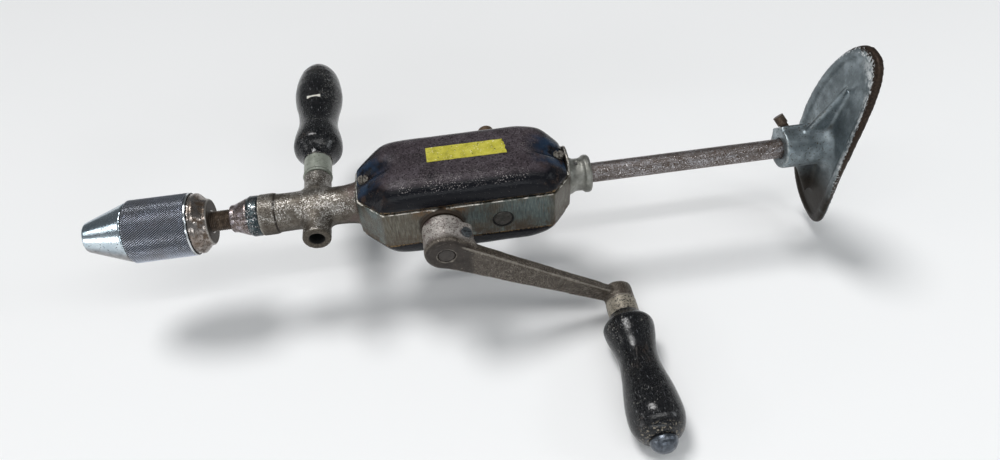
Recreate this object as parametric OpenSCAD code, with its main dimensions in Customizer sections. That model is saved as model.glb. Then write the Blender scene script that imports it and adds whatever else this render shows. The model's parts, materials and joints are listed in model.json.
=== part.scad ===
// Breast drill: a geared crank turns a three-jaw chuck, and a curved plate takes the push.
// The origin is the middle of the chuck's mouth. +X runs along the spindle to the plate,
// the crank is on the -Y side, and +Z is up.

/* [Chuck] */
// Radius of the knurled sleeve
chuck_r = 19.75; // [19.25:0.25:22]
// Radius of the nose at the mouth
mouth_r = 9.35; // [8.5:0.05:11]
// Length of the nose cone
nose_cone_len = 27; // [25:0.5:32]
// Length of the knurled sleeve
sleeve_len = 39; // [37:0.5:48]
// Length of the rounded tail behind the sleeve
tail_len = 10.2; // [8:0.2:14]
// Radius of the tail's rear face
tail_r = 14.6; // [12:0.2:17]
// Wall of the knurled sleeve
sleeve_wall = 1.85; // [1.4:0.05:2]
// Radius of the chuck's core under the sleeve
core_r = 13.5; // [13:0.1:14.5]
// Radius of the bit that the jaws hold at rest
bit_r = 3; // [2.6:0.1:3.4]
// Radius of the bore for the largest bit
bit_max_r = 6.4; // [6:0.1:6.6]
// Radius of a jaw rod
jaw_r = 2.8; // [2.6:0.1:2.9]
// Slant of a jaw against the spindle, in degrees
jaw_slant = 12; // [11:0.5:12.5]
// Length of a jaw along the spindle
jaw_len = 42; // [40:0.5:44]
// How far a jaw can close on the axis
jaw_close = 1.9; // [1:0.1:2]
// How far a jaw can open from the axis
jaw_open = 3.3; // [2:0.1:3.4]
// Width of the nut that drives the jaws
nut_w = 4; // [3:0.5:4]

/* [Spindle] */
// Radius of the spindle
spindle_r = 6.35; // [6:0.05:6.6]
// Radius of the spindle's end inside the pinion
spindle_end_r = 4.8; // [4:0.1:5.2]
// Bare length of spindle between chuck and bearing
spindle_gap = 11.8; // [8:0.2:16]
// Length of the bearing cone
cone_len = 11; // [9:0.2:13]
// Length of the bearing ring
ring_len = 6.8; // [5:0.2:10]
// Radius of the bearing ring
ring_r = 12.75; // [12.25:0.25:14]
// Radius of a bearing ball
ball_r = 1.5; // [1.2:0.1:1.6]
// Number of bearing balls
ball_count = 12; // [6:1:14]
// Length of a spindle bush
bush_len = 17; // [12:1:20]
// Outer radius of a spindle bush
bush_r = 8.5; // [8:0.1:9]

/* [Nose and sockets] */
// Radius of the nose tube
nose_r = 12.1; // [11.5:0.1:14]
// Length of the nose tube in front of the casing
nose_len = 61; // [56:0.5:70]
// Radius of the nose's front collar
nose_collar_r = 13; // [12.5:0.1:15]
// Length of the nose's front collar
nose_collar_len = 10; // [6:0.5:14]
// Distance of the handle sockets behind the nose's front
socket_back = 34.9; // [28:0.1:40]
// Outer radius of a handle socket
socket_r = 8.75; // [8.25:0.25:10]
// Reach of a handle socket from the axis
socket_reach = 26.8; // [22:0.2:32]
// Radius of a handle socket's hole
socket_hole_r = 4.7; // [4:0.1:5.5]
// Depth of a handle socket's hole
socket_depth = 16; // [10:0.5:16]

/* [Gear casing] */
// Length of the casing
case_len = 133.3; // [126:0.1:150]
// Length of the slanted corner in front
corner_front = 15.1; // [10:0.1:18]
// Length of the slanted corner behind
corner_rear = 12.9; // [10:0.1:18]
// Half width of the casing
case_half_w = 28; // [27:0.25:32]
// Half width of the casing's ends
end_half_w = 13; // [12:0.25:15]
// Half height of the bare metal band
band_half_h = 13.6; // [12:0.2:15]
// Half height over the covers
cover_half_h = 30.4; // [30:0.2:36]
// Radius of a cover's long shoulders
cover_round = 12.5; // [9:0.5:14]
// Wall of the band
case_wall = 2.5; // [2:0.1:3]
// Wall of a cover
cover_wall = 1.5; // [1.2:0.1:1.7]
// Thickness of the casing's end walls
end_wall = 10; // [9:0.5:12]
// Radius of a cover screw's head
screw_head_r = 3.4; // [2.5:0.1:3.8]
// Radius of a cover screw's shank
screw_shank_r = 1.9; // [1.4:0.1:2.2]
// Length of the rear collar
rear_collar_len = 15; // [10:0.5:20]
// Radius of the rear collar's lip
rear_lip_r = 12.2; // [11.5:0.1:14]
// Radius of the rear collar's neck
rear_neck_r = 10.5; // [9.5:0.1:12]

/* [Gears and cross shafts] */
// Distance of the crank shaft behind the casing's front
crank_back = 50.3; // [48:0.1:56]
// Module of all teeth
gear_module = 1.45; // [1.38:0.01:1.46]
// Face teeth on the main gear
face_teeth = 34; // [33:1:34]
// Teeth on the spindle pinion
pinion_teeth = 12; // [12:1:13]
// Rim teeth on the main gear
rim_teeth = 36; // [35:1:36]
// Teeth on the low-speed pinion
low_teeth = 16; // [14:1:16]
// Width of the face teeth
face_w = 4; // [3:0.5:4.5]
// Width of the rim teeth
rim_w = 5; // [4:0.5:5.5]
// Radius of the crank shaft and of the low-speed stub
shaft_r = 5.3; // [4.8:0.1:5.4]
// Radius of the low-speed shaft inside the casing
low_journal_r = 5.8; // [5.6:0.1:6.2]
// Outer radius of a crank shaft bush
shaft_bush_r = 8; // [7.5:0.1:8.5]
// Reach of the low-speed stub past the casing
stub_len = 28; // [20:0.5:34]
// Drop of the low-speed shaft below the crank shaft
low_drop = 2.3; // [0:0.1:4]
// Height of the boss round the crank shaft
crank_boss_h = 2.4; // [1:0.2:3]
// Radius of the boss round the crank shaft
crank_boss_r = 13.4; // [12:0.2:18]

/* [Crank] */
// Radius that the crank grip turns on
crank_radius = 127; // [110:0.5:150]
// Angle of the crank arm below the +X axis, in degrees
crank_droop = 30.8; // [0:0.1:60]
// Radius of the crank hub
hub_r = 13.1; // [12:0.1:15]
// Length of the crank hub
hub_len = 22.6; // [20:0.2:26]
// Thickness of the arm at the hub
arm_t = 7; // [5:0.5:12]
// Width of the arm at the hub
arm_root_w = 21.5; // [18:0.5:26]
// Width of the arm at its end
arm_tip_w = 10; // [8:0.5:14]
// Thickness of the arm at its end
arm_tip_t = 6.5; // [4:0.5:8]
// Distance of the arm's front from the end boss's face
arm_set_back = 3.2; // [0:0.2:5]
// Step of the end boss outwards from the hub's face
arm_step = 5; // [0:0.2:8]
// Radius of the boss at the arm's end
end_boss_r = 9.8; // [9:0.1:12]
// Length of the boss at the arm's end
end_boss_len = 12.5; // [9:0.5:16]
// Distance of the set screw from the hub's back
screw_back = 12.8; // [8:0.2:15]
// Radius of the crank's set screw
set_screw_r = 3.3; // [2.5:0.1:4]
// Distance of the set screw's lug from the hub's back
lug_back = 3.5; // [2:0.5:6]
// Width of the set screw's lug
lug_w = 15.6; // [12:0.2:17]

/* [Grips] */
// Radius of the pin that the crank grip spins on
grip_pin_r = 4; // [3.5:0.1:4.5]
// Length of the crank grip with its ferrule
grip_len = 97.6; // [85:0.2:110]
// Length of the crank grip's bare ferrule
ferrule_len = 10.2; // [8:0.2:13]
// Radius of the crank grip's ferrule
grip_ferrule_r = 10; // [9:0.1:11.5]
// Largest radius of the crank grip's shoulder
grip_bulb_r = 16.4; // [14:0.1:18]
// Radius of the crank grip's waist
grip_waist_r = 12.6; // [11:0.1:14]
// Largest radius of the crank grip's belly
grip_belly_r = 17.2; // [15:0.1:19]
// Distance of the crank grip's shoulder from its ferrule
grip_bulb_at = 9.6; // [6:0.2:14]
// Distance of the crank grip's waist from its ferrule
grip_waist_at = 33; // [26:0.5:40]
// Distance of the crank grip's belly from its end
grip_belly_back = 15; // [10:0.5:24]
// Radius of the crank grip's end cap
cap_r = 8.4; // [7:0.1:10]
// Length of the side handle beyond its socket
handle_len = 119; // [105:0.5:135]
// Length of the side handle's bare ferrule
handle_ferrule_len = 14.6; // [10:0.2:20]
// Radius of the side handle's ferrule
handle_ferrule_r = 9.1; // [8.5:0.1:10.5]
// Largest radius of the side handle's shoulder
handle_bulb_r = 16.4; // [14:0.1:18]
// Radius of the side handle's waist
handle_waist_r = 13.1; // [11:0.1:14]
// Largest radius of the side handle's belly
handle_belly_r = 16.6; // [15:0.1:19]
// Distance of the side handle's shoulder from its ferrule
handle_bulb_at = 15; // [9:0.5:20]
// Distance of the side handle's waist from its ferrule
handle_waist_at = 40; // [30:0.5:46]
// Distance of the side handle's belly from its end
handle_belly_back = 34; // [20:0.5:44]

/* [Breast plate] */
// Radius of the breast tube
tube_r = 6.35; // [6:0.05:7]
// Bore radius of the breast tube
tube_bore_r = 4.3; // [3.5:0.1:4.6]
// Bare length of the tube between collar and plate
tube_len = 126.8; // [80:0.2:200]
// Half length of the plate
plate_half_len = 72; // [60:0.5:85]
// Half width of the plate
plate_half_w = 29.5; // [26:0.5:38]
// Radius that the plate is bent to
plate_bend_r = 227; // [180:1:400]
// Thickness of the plate's rim
rim_t = 4.2; // [3.8:0.2:7]
// Width of the plate's rim
rim_w_plate = 6; // [4:0.5:9]
// Depth of the panel inside the rim
panel_depth = 2; // [1:0.2:2.6]
// Radius of the plate's boss
boss_r = 13.25; // [11.5:0.25:16]
// Length of the plate's boss in front of the rim
boss_len = 27.7; // [22:0.1:34]
// Turn of the plate about the tube, in degrees
plate_roll = 2.5; // [-180:0.1:180]
// Radius of the plate's set screw
plate_screw_r = 3.4; // [2.5:0.1:4]

/* [Hidden] */
$fn = 64;
running = 0.04;
seat = 0.02;
gap = 0.3;
cut = 1;
edge = 0.8;

// Places along the spindle axis
sleeve_x = nose_cone_len;
tail_x = sleeve_x + sleeve_len;
chuck_len = tail_x + tail_len;
cone_x = chuck_len + spindle_gap;
ring_x = cone_x + cone_len + gap;
nose_x = ring_x + ring_len;
case_x = nose_x + nose_len;
socket_x = nose_x + socket_back;
crank_x = case_x + crank_back;
case_end_x = case_x + case_len;
collar_end_x = case_end_x + rear_collar_len;
boss_x = collar_end_x + tube_len;
plate_x = boss_x + boss_len;
cavity_x0 = case_x + end_wall;
cavity_x1 = case_end_x - end_wall;

// Chuck
sleeve_edge = 1;
cone_end_r = chuck_r - sleeve_edge;
sleeve_bore_r = chuck_r - sleeve_wall;
sleeve_bearing_w = 4.8;
jaw_off = bit_r - jaw_r / 4;
jaw_tip_play = 0.2;
jaw_tip = jaw_close + jaw_tip_play;
jaw_end_x = jaw_len + jaw_open / tan(jaw_slant);
nut_back = 1.6;
nut_x = sleeve_x + nut_back;
nut_play = 0.1;
jaw_out_r = jaw_off + (nut_x + nut_w) * tan(jaw_slant) + jaw_r / cos(jaw_slant);
nut_bore_r = jaw_out_r + gap;
nut_grip = 1.8;
groove_r = nut_bore_r - nut_grip;
spindle_seat_len = 8;
socket_end_x = tail_x - spindle_seat_len;
tail_round = 2.4;
bore_web = 8;
bit_bore_len = socket_end_x - bore_web;

// Bearing
race_r = (spindle_r + ring_r) / 2;
ball_play = 0.1;
race_groove_r = ball_r + ball_play;
race_x = cone_x + cone_len + gap / 2;
cone_front_t = 1.4;
cone_neck_t = 2.4;
cone_front_r = spindle_r + cone_front_t;
cone_neck_r = spindle_r + cone_neck_t;
cone_neck_len = 3;
cone_back_in = 1.2;
cone_back_r = ring_r - cone_back_in;
cone_back_len = 1;
ring_bevel = 1.6;
ring_spigot = 3;
bush_x = nose_x + ring_spigot;

// Gears: the face teeth mesh with the spindle pinion, the rim teeth with the low-speed pinion.
// A tooth's width and its slopes are shares of the pitch, its heights shares of the module.
tooth_share = 0.37;
root_spread = 0.13;
tip_spread = 0.15;
face_root_spread = 0.1;
face_tip_spread = 0.13;
tooth_sink = 0.6;
tooth_up = 0.9 * gear_module;
tooth_down = 1.2 * gear_module;
pitch = PI * gear_module;
face_pitch_r = gear_module * face_teeth / 2;
pinion_r = gear_module * pinion_teeth / 2;
rim_r = gear_module * rim_teeth / 2;
low_r = gear_module * low_teeth / 2;
centre_dist = rim_r + low_r;
low_run = sqrt(centre_dist * centre_dist - low_drop * low_drop);
low_x = crank_x + low_run;
low_angle = -asin(low_drop / centre_dist);
face_tip_y = pinion_r - tooth_up;
face_root_y = pinion_r + tooth_down;
gear_web_t = 3.6;
rim_y0 = face_root_y + gear_web_t;
rim_y1 = rim_y0 + rim_w;
gear_hub_r = 9;
hub_proud = 2;
gear_hub_y = face_tip_y - hub_proud;
pinion_past = 0.8;
pinion_before = 4;
pinion_x1 = crank_x - face_pitch_r + face_w / 2 + pinion_past;
pinion_x0 = crank_x - face_pitch_r - face_w / 2 - pinion_before;
washer_t = 2;
washer_rim = 1;
pinion_hub_x = cavity_x0 + washer_t + gap / 2;
pinion_hub_r = pinion_r - tooth_down;
spindle_past = 1.5;
spindle_end_x = pinion_x1 + spindle_past;
pin_r = 1.2;
low_hub_r = low_r - tooth_down - 2 * gap;

// Cross shafts
wall_y = case_half_w - case_wall;
crank_washer_t = 1.5;
side_play = 0.15;
boss_in_y = rim_y1 + crank_washer_t;
collar_w = 5;
far_boss_h = 5;
far_in_y = wall_y - far_boss_h;
collar_y1 = far_in_y - side_play;
low_boss_r = 9;
crank_inner_boss_r = 11.5;
stub_end_y = case_half_w + stub_len;
flush_back = 0.1;
low_near_y = case_half_w - flush_back;
stub_shoulder = 0.5;
stub_y = case_half_w + stub_shoulder;

// Covers
cover_edge = 0.4;
seam_step = 2;
shoulder_run = 19;
top_run = cover_round + shoulder_run;
rear_shift = 3;
front_fill = 7.8;
front_fill_drop = 0.9;
rear_fill = 8.3;
rear_fill_drop = 2.3;
end_slope = 14;
end_drop = 3.2;
end_draw_in = 2;
hollow_short = 4;
hollow_run = top_run + hollow_short;
cover_end_r = 6.2;
end_back_front = 0.8;
end_back_rear = 2.4;
cover_end_x0 = case_x + cover_end_r + end_back_front;
cover_end_x1 = case_end_x - cover_end_r - end_back_rear;
flange_t = 2;
flange_rise = 7.4;
flange_play = 0.2;
screw_off = 0.6;
screw_in = end_wall / 2 + screw_off;
screw_web = 4;
screw_head_len = 2.4;
screw_slot_w = 1;
screw_slot_h = 1.2;
screw_top_z = band_half_h + screw_web + screw_head_len;
screw_end_web = 1;
flute_low = [0, 8, 4.2];
flute_high = [21, 4.4, 5.4];
flute_back = [-4, 14, 5];
shoulder_half_w = case_half_w - cover_edge - cover_round;

// Crank
hub_play = 1;
hub_back = case_half_w + crank_boss_h + hub_play;
hub_front = hub_back + hub_len;
arm_back = hub_front - arm_t;
end_boss_y1 = hub_front + arm_step;
end_boss_y0 = end_boss_y1 - end_boss_len;
screw_y = hub_back + screw_back;
screw_head_h = 1.8;
screw_tip = 6;
set_slot_h = 0.8;
set_slot_w = 0.8;
set_thread_r = set_screw_r - edge;
screw_bite = 0.4;
screw_off_axis = shaft_r + set_thread_r - screw_bite;
lug_end_r = 2.5;
lug_reach = 13.6;
lug_foot = 18.5;
lug_y0 = hub_back + lug_back;
lug_y1 = lug_y0 + lug_w;
hub_back_edge = 0.6;
hub_front_edge = 2;
boss_edge = 1.2;
grip_pin_step = 0.5;
pin_tail = 0.2;

// Grips
grip_y0 = end_boss_y1 + gap;
grip_y1 = grip_y0 + grip_len;
wood_y0 = grip_y0 + ferrule_len;
handle_wood_y0 = socket_reach + gap + handle_ferrule_len;
ferrule_lap = 3;
cap_len = 8;
cap_rim = 1;
cap_draw_in = 0.4;
ferrule_t = 1.2;
wood_lip = 0.4;
handle_y0 = socket_reach + gap;
handle_y1 = socket_reach + handle_len;
stud_play = 0.5;
stud_grip_len = 40;
stud_in_y = socket_reach - socket_depth + stud_play;
stud_out_y = handle_y0 + stud_grip_len;
thread_play = 0.05;

// Breast plate
tube_short = 6;
tube_end_x = plate_x - tube_short;
plate_reach = plate_half_len * plate_half_len / plate_bend_r + rim_t;
flare_r = 9;
rib_t = 4;
rib_start = 12;
rib_short = 22;
rib_reach = plate_half_len - rib_short;
pad_rise = 0.6;
pad_r = boss_r + pad_rise;
pad_half_w = 7;
plate_screw_turn = -48;
plate_screw_lean = 28;
plate_screw_back = 9.8;
plate_screw_x = boss_x + plate_screw_back;
plate_thread_r = plate_screw_r - edge;
plate_head_up = 3;
plate_head_z = pad_r - tube_r + plate_head_up;
plate_head_h = 6;

// Nose and rear collar
nose_flare = 1.4;
nose_flare_len = 8;
socket_flare = 2.4;
socket_flare_len = 7;
socket_flare_in = 3;
rear_flare = 1.6;
rear_flare_len = 2;
rear_neck_back = 4.5;
rear_neck_x = case_end_x + rear_neck_back;
rear_lip_w = 4;
rear_lip_slope = 1.5;
rear_lip_edge = 1;
tube_pin_back = 5.5;

// Casing plan: a long hexagon with flat ends, shrunk by inset, less so on the slanted corners
inset_share = 0.4;
function plan(inset) = [
    [case_x + inset, -end_half_w + inset * inset_share],
    [case_x + corner_front + inset * inset_share, -case_half_w + inset],
    [case_end_x - corner_rear - inset * inset_share, -case_half_w + inset],
    [case_end_x - inset, -end_half_w + inset * inset_share],
    [case_end_x - inset, end_half_w - inset * inset_share],
    [case_end_x - corner_rear - inset * inset_share, case_half_w - inset],
    [case_x + corner_front + inset * inset_share, case_half_w - inset],
    [case_x + inset, end_half_w - inset * inset_share]
];

function cavity_plan() = [
    [cavity_x0, -end_half_w],
    [case_x + corner_front + case_wall, -wall_y],
    [case_end_x - corner_rear - case_wall, -wall_y],
    [cavity_x1, -end_half_w],
    [cavity_x1, end_half_w],
    [case_end_x - corner_rear - case_wall, wall_y],
    [case_x + corner_front + case_wall, wall_y],
    [cavity_x0, end_half_w]
];

// Curve helpers
function arc(cx, cy, r, a0, a1, n = 8) =
    [for (i = [0:n]) let (a = a0 + (a1 - a0) * i / n) [cx + r * cos(a), cy + r * sin(a)]];
function ease(u) = (1 - cos(180 * u)) / 2;
function swell(a, b, n = 8) =
    [for (i = [0:n - 1]) [a[0] + (b[0] - a[0]) * ease(i / n), a[1] + (b[1] - a[1]) * i / n]];
function oval(a, b, power = 2.37, n = 72) = [
    for (i = [0:n - 1])
        let (t = 360 * i / n, c = cos(t), s = sin(t))
            [b * sign(c) * pow(abs(c), 2 / power), a * sign(s) * pow(abs(s), 2 / power)]
];

// Placing helpers
module x_cyl(r, x0, x1) translate([x0, 0, 0]) rotate([0, 90, 0]) cylinder(r = r, h = x1 - x0);
module x_cone(r0, r1, x0, x1) translate([x0, 0, 0]) rotate([0, 90, 0])
    cylinder(r1 = r0, r2 = r1, h = x1 - x0);
module y_cyl(r, y0, y1) translate([0, y0, 0]) rotate([-90, 0, 0]) cylinder(r = r, h = y1 - y0);
module z_cyl(r, z0, z1) translate([0, 0, z0]) cylinder(r = r, h = z1 - z0);
module x_turned(profile) rotate([0, 90, 0]) rotate_extrude() polygon(profile);
module y_turned(profile) rotate([-90, 0, 0]) rotate_extrude() polygon(profile);
module near_turned(profile) rotate([90, 0, 0]) rotate_extrude() polygon(profile);
module x_ring(r0, r1, x0, x1) difference() {
    x_cyl(r1, x0, x1);
    x_cyl(r0, x0 - cut, x1 + cut);
}
module y_ring(r0, r1, y0, y1) difference() {
    y_cyl(r1, y0, y1);
    y_cyl(r0, y0 - cut, y1 + cut);
}
module x_torus(ring, r, x) translate([x, 0, 0]) rotate([0, 90, 0]) rotate_extrude()
    translate([ring, 0]) circle(r);
module at_crank() translate([crank_x, 0, 0]) children();
module at_arm() at_crank() rotate([0, crank_droop, 0]) children();
module at_grip() at_arm() translate([crank_radius, 0, 0]) children();
module at_low() translate([low_x, 0, -low_drop]) children();
module at_socket() translate([socket_x, 0, 0]) children();
module at_pinion_pin() translate([(pinion_hub_x + pinion_x0) / 2, 0, 0]) children();
module at_gear_pin() translate([0, -gear_hub_y - 1.5 * pin_r, 0]) children();
module at_set_screw() translate([screw_off_axis, -screw_y, 0]) children();
module at_tube_pin() translate([case_end_x + tube_pin_back, 0, 0]) children();
module each_cover_screw() for (x = [case_x + screw_in, case_end_x - screw_in])
    translate([x, 0, 0]) children();

// A spur tooth pointing along +X, with straight flanks
module tooth(r) {
    root_w = pitch * (tooth_share + root_spread);
    tip_w = pitch * (tooth_share - tip_spread);
    root_r = r - tooth_down - tooth_sink;
    tip_r = r + tooth_up;
    polygon([[root_r, -root_w / 2], [tip_r, -tip_w / 2], [tip_r, tip_w / 2], [root_r, root_w / 2]]);
}
module spur_outline(teeth) {
    r = gear_module * teeth / 2;
    circle(r - tooth_down);
    for (i = [0:teeth - 1]) rotate(360 * i / teeth) tooth(r);
}

// Chuck
module jaw_rod(r, x0, x1) intersection() {
    translate([0, 0, jaw_off]) rotate([0, 90 - jaw_slant, 0]) translate([0, 0, -2 * jaw_len])
        cylinder(r = r, h = 5 * jaw_len);
    translate([x0, -chuck_r, -chuck_r]) cube([x1 - x0, 2 * chuck_r, 2 * chuck_r]);
}

module chuck_jaw(turn) rotate([turn, 0, 0]) difference() {
    intersection() {
        jaw_rod(jaw_r, 0, jaw_len);
        translate([jaw_len, 0, 0]) rotate([0, -90, 0]) linear_extrude(jaw_len)
            polygon([[jaw_tip, 0], [jaw_tip + chuck_r, chuck_r * tan(60)],
                [jaw_tip + chuck_r, -chuck_r * tan(60)]]);
    }
    x_cyl(bit_r, -cut, jaw_len + cut);
}
module chuck_jaw_1() color("silver") chuck_jaw(0);
module chuck_jaw_2() color("silver") chuck_jaw(120);
module chuck_jaw_3() color("silver") chuck_jaw(240);

module chuck_body() color("lightsteelblue") difference() {
    x_turned(concat(
        [[0, 0], [mouth_r - edge, 0], [mouth_r, edge], [cone_end_r, sleeve_x - edge], [cone_end_r, sleeve_x],
            [core_r, sleeve_x], [core_r, tail_x], [chuck_r - edge, tail_x]],
        arc(chuck_r - edge - tail_round, tail_x + tail_round, tail_round, -45, 30, 4),
        [[tail_r, chuck_len - 3 * edge], [tail_r, chuck_len - edge], [tail_r - edge, chuck_len],
            [0, chuck_len]]));
    x_cyl(bit_max_r, -cut, bit_bore_len);
    for (turn = [0, 120, 240]) rotate([turn, 0, 0]) jaw_rod(jaw_r + running, -cut, jaw_end_x + cut);
    x_ring(groove_r, chuck_r + cut, nut_x - nut_play, nut_x + nut_w + nut_play);
    x_cyl(spindle_r + seat, socket_end_x, chuck_len + cut);
}

module chuck_sleeve() color("slategray") difference() {
    x0 = sleeve_x + nut_play;
    x1 = tail_x - nut_play;
    x_turned([[0, x0], [chuck_r - sleeve_edge, x0], [chuck_r, x0 + sleeve_edge],
        [chuck_r, x1 - sleeve_edge], [chuck_r - sleeve_edge, x1], [0, x1]]);
    x_cyl(sleeve_bore_r, sleeve_x - cut, tail_x - sleeve_bearing_w);
    x_cyl(core_r + running, sleeve_x, tail_x + cut);
}

module chuck_nut() color("gray") x_ring(nut_bore_r, sleeve_bore_r - seat, nut_x, nut_x + nut_w);

// Spindle and its bearings
module spindle() color("saddlebrown") difference() {
    union() {
        x_cyl(spindle_r, socket_end_x + gap, pinion_hub_x);
        x_cyl(spindle_end_r, pinion_hub_x - cut, spindle_end_x);
    }
    at_pinion_pin() z_cyl(pin_r + seat, -spindle_r, spindle_r);
}

module bearing_cone() color("rosybrown") difference() {
    cone_end_x = cone_x + cone_len;
    x_turned([[spindle_r + seat, cone_x], [cone_front_r, cone_x], [cone_front_r + edge, cone_x + edge],
        [cone_neck_r, cone_x + cone_neck_len], [cone_back_r, cone_end_x - cone_back_len],
        [cone_back_r, cone_end_x], [spindle_r + seat, cone_end_x]]);
    x_torus(race_r, race_groove_r, race_x);
}

module bearing_balls() color("silver") for (i = [0:ball_count - 1]) rotate([360 * i / ball_count, 0, 0])
    translate([race_x, 0, race_r]) sphere(r = ball_r);

module bearing_ring() color("darkslategray") difference() {
    x_turned([[spindle_r + gap, ring_x], [ring_r - edge, ring_x], [ring_r, ring_x + ring_bevel],
        [ring_r, nose_x - edge], [ring_r - edge / 2, nose_x], [bush_r - seat, nose_x],
        [bush_r - seat, bush_x], [spindle_r + gap, bush_x]]);
    x_torus(race_r, race_groove_r, race_x);
}

module front_bush() color("peru") x_ring(spindle_r + running, bush_r - seat, bush_x, bush_x + bush_len);
module rear_bush() color("peru") x_ring(spindle_r + running, bush_r - seat, cavity_x0 - bush_len, cavity_x0);
module thrust_washer() color("silver")
    x_ring(spindle_r + seat, bush_r + washer_rim, cavity_x0 + gap / 2, pinion_hub_x);

module spindle_pinion() color("dimgray") difference() {
    union() {
        x_cyl(pinion_hub_r, pinion_hub_x, pinion_x1);
        translate([pinion_x0, 0, 0]) rotate([0, 90, 0]) rotate(-90) linear_extrude(pinion_x1 - pinion_x0)
            spur_outline(pinion_teeth);
    }
    x_cyl(spindle_end_r + seat, pinion_hub_x - cut, pinion_x1 + cut);
    at_pinion_pin() z_cyl(pin_r + seat, -pinion_hub_r - cut, pinion_hub_r + cut);
}

// Frame casting
module socket_form(r, flare) {
    y_cyl(r, 0, socket_reach);
    translate([0, nose_r - socket_flare_in, 0]) rotate([-90, 0, 0])
        cylinder(r1 = r + flare, r2 = r, h = socket_flare_len);
}

module rear_collar() {
    lip_x = collar_end_x - rear_lip_w;
    x_turned([[0, case_end_x - cut], [rear_neck_r + rear_flare, case_end_x - cut],
        [rear_neck_r + rear_flare, case_end_x + rear_flare_len], [rear_neck_r, rear_neck_x],
        [rear_neck_r, lip_x - rear_lip_slope], [rear_lip_r, lip_x],
        [rear_lip_r, collar_end_x - rear_lip_edge], [rear_lip_r - rear_lip_edge, collar_end_x],
        [0, collar_end_x]]);
}

module end_flange(x0, x1) translate([x0, 0, 0]) rotate([90, 0, 90]) linear_extrude(x1 - x0)
    polygon(oval(band_half_h + flange_rise, end_half_w, 3, 40));

module casing_outside() {
    translate([0, 0, -band_half_h]) linear_extrude(2 * band_half_h) polygon(plan(0));
    end_flange(case_end_x - flange_t, case_end_x);
    x_cyl(nose_r, nose_x, case_x + end_wall);
    x_cyl(nose_collar_r, nose_x, nose_x + nose_collar_len);
    x_cone(nose_r, nose_r + nose_flare, case_x - nose_flare_len, case_x + cut);
    at_socket() for (side = [0, 1]) mirror([0, side, 0]) socket_form(socket_r, socket_flare);
    at_crank() y_cyl(crank_boss_r, -case_half_w - crank_boss_h, -wall_y);
    rear_collar();
}

module casing_bosses() {
    at_crank() {
        y_cyl(crank_inner_boss_r, -wall_y - seat, -boss_in_y);
        y_cyl(crank_inner_boss_r, far_in_y, wall_y + seat);
    }
    at_low() {
        y_cyl(low_boss_r, -wall_y - seat, -boss_in_y);
        y_cyl(low_boss_r, far_in_y, wall_y + seat);
    }
}

module frame_casting() color("darkgray") difference() {
    union() {
        difference() {
            casing_outside();
            translate([0, 0, -2 * band_half_h]) linear_extrude(4 * band_half_h) polygon(cavity_plan());
        }
        casing_bosses();
    }
    x_cyl(bush_r, nose_x - cut, cavity_x0 + cut);
    x_cyl(tube_r + seat, cavity_x1 - cut, collar_end_x + cut);
    at_socket() for (side = [-1, 1]) translate([0, side * (socket_reach - socket_depth), 0])
        rotate([-90 * side, 0, 0]) cylinder(r = socket_hole_r, h = socket_depth + cut);
    at_crank() y_cyl(shaft_bush_r, -case_half_w - crank_boss_h - cut, case_half_w + cut);
    at_low() y_cyl(low_journal_r + running, -case_half_w - cut, case_half_w + cut);
    for (side = [0, 1]) mirror([0, 0, side]) each_cover_screw()
        z_cyl(screw_shank_r + seat, bush_r + screw_end_web, band_half_h + cut);
    at_tube_pin() z_cyl(pin_r + seat, -2 * rear_neck_r, 2 * rear_neck_r);
}

// Covers: a seam outline and rounded shoulders that run down to the ends
module shoulder_balls(r, xs, half_w, z) for (side = [-1, 1]) for (x = xs)
    translate([x, side * half_w, z]) sphere(r = r, $fn = 32);

module cover_form() difference() {
    hull() {
        translate([0, 0, band_half_h]) linear_extrude(seam_step) polygon(plan(cover_edge));
        shoulder_balls(cover_round, [case_x + top_run, case_end_x - top_run + rear_shift], shoulder_half_w,
            cover_half_h - cover_round);
        shoulder_balls(cover_round, [case_x + top_run - front_fill], shoulder_half_w,
            cover_half_h - cover_round - front_fill_drop);
        shoulder_balls(cover_round, [case_end_x - top_run + rear_shift + rear_fill], shoulder_half_w,
            cover_half_h - cover_round - rear_fill_drop);
        shoulder_balls(cover_round - edge, [case_x + top_run - end_slope, case_end_x - top_run + end_slope],
            end_half_w - end_draw_in, cover_half_h - cover_round - end_drop);
        shoulder_balls(cover_end_r, [cover_end_x0, cover_end_x1], end_half_w - cover_end_r - cover_edge,
            band_half_h);
    }
    translate([case_x, -case_half_w, -cover_half_h])
        cube([case_len, 2 * case_half_w, cover_half_h + band_half_h]);
}

// Room for the gears, kept short of the ends so that the flutes stay closed
module cover_hollow() hull() {
    r = cover_round - cover_wall;
    translate([0, 0, band_half_h - cut]) linear_extrude(2 * cut) polygon(cavity_plan());
    shoulder_balls(r, [case_x + hollow_run, case_end_x - hollow_run], shoulder_half_w,
        cover_half_h - cover_wall - r);
}

// The flute that runs from a screw up the slanted end: balls given as [along, up, radius]
module cover_flute(x, out) hull() {
    translate([x + out * flute_low[0], 0, band_half_h + flute_low[1]]) sphere(r = flute_low[2], $fn = 24);
    translate([x + out * flute_high[0], 0, cover_half_h + flute_high[1]]) sphere(r = flute_high[2], $fn = 24);
    translate([x + out * flute_back[0], 0, band_half_h + flute_back[1]]) sphere(r = flute_back[2], $fn = 24);
}

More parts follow.
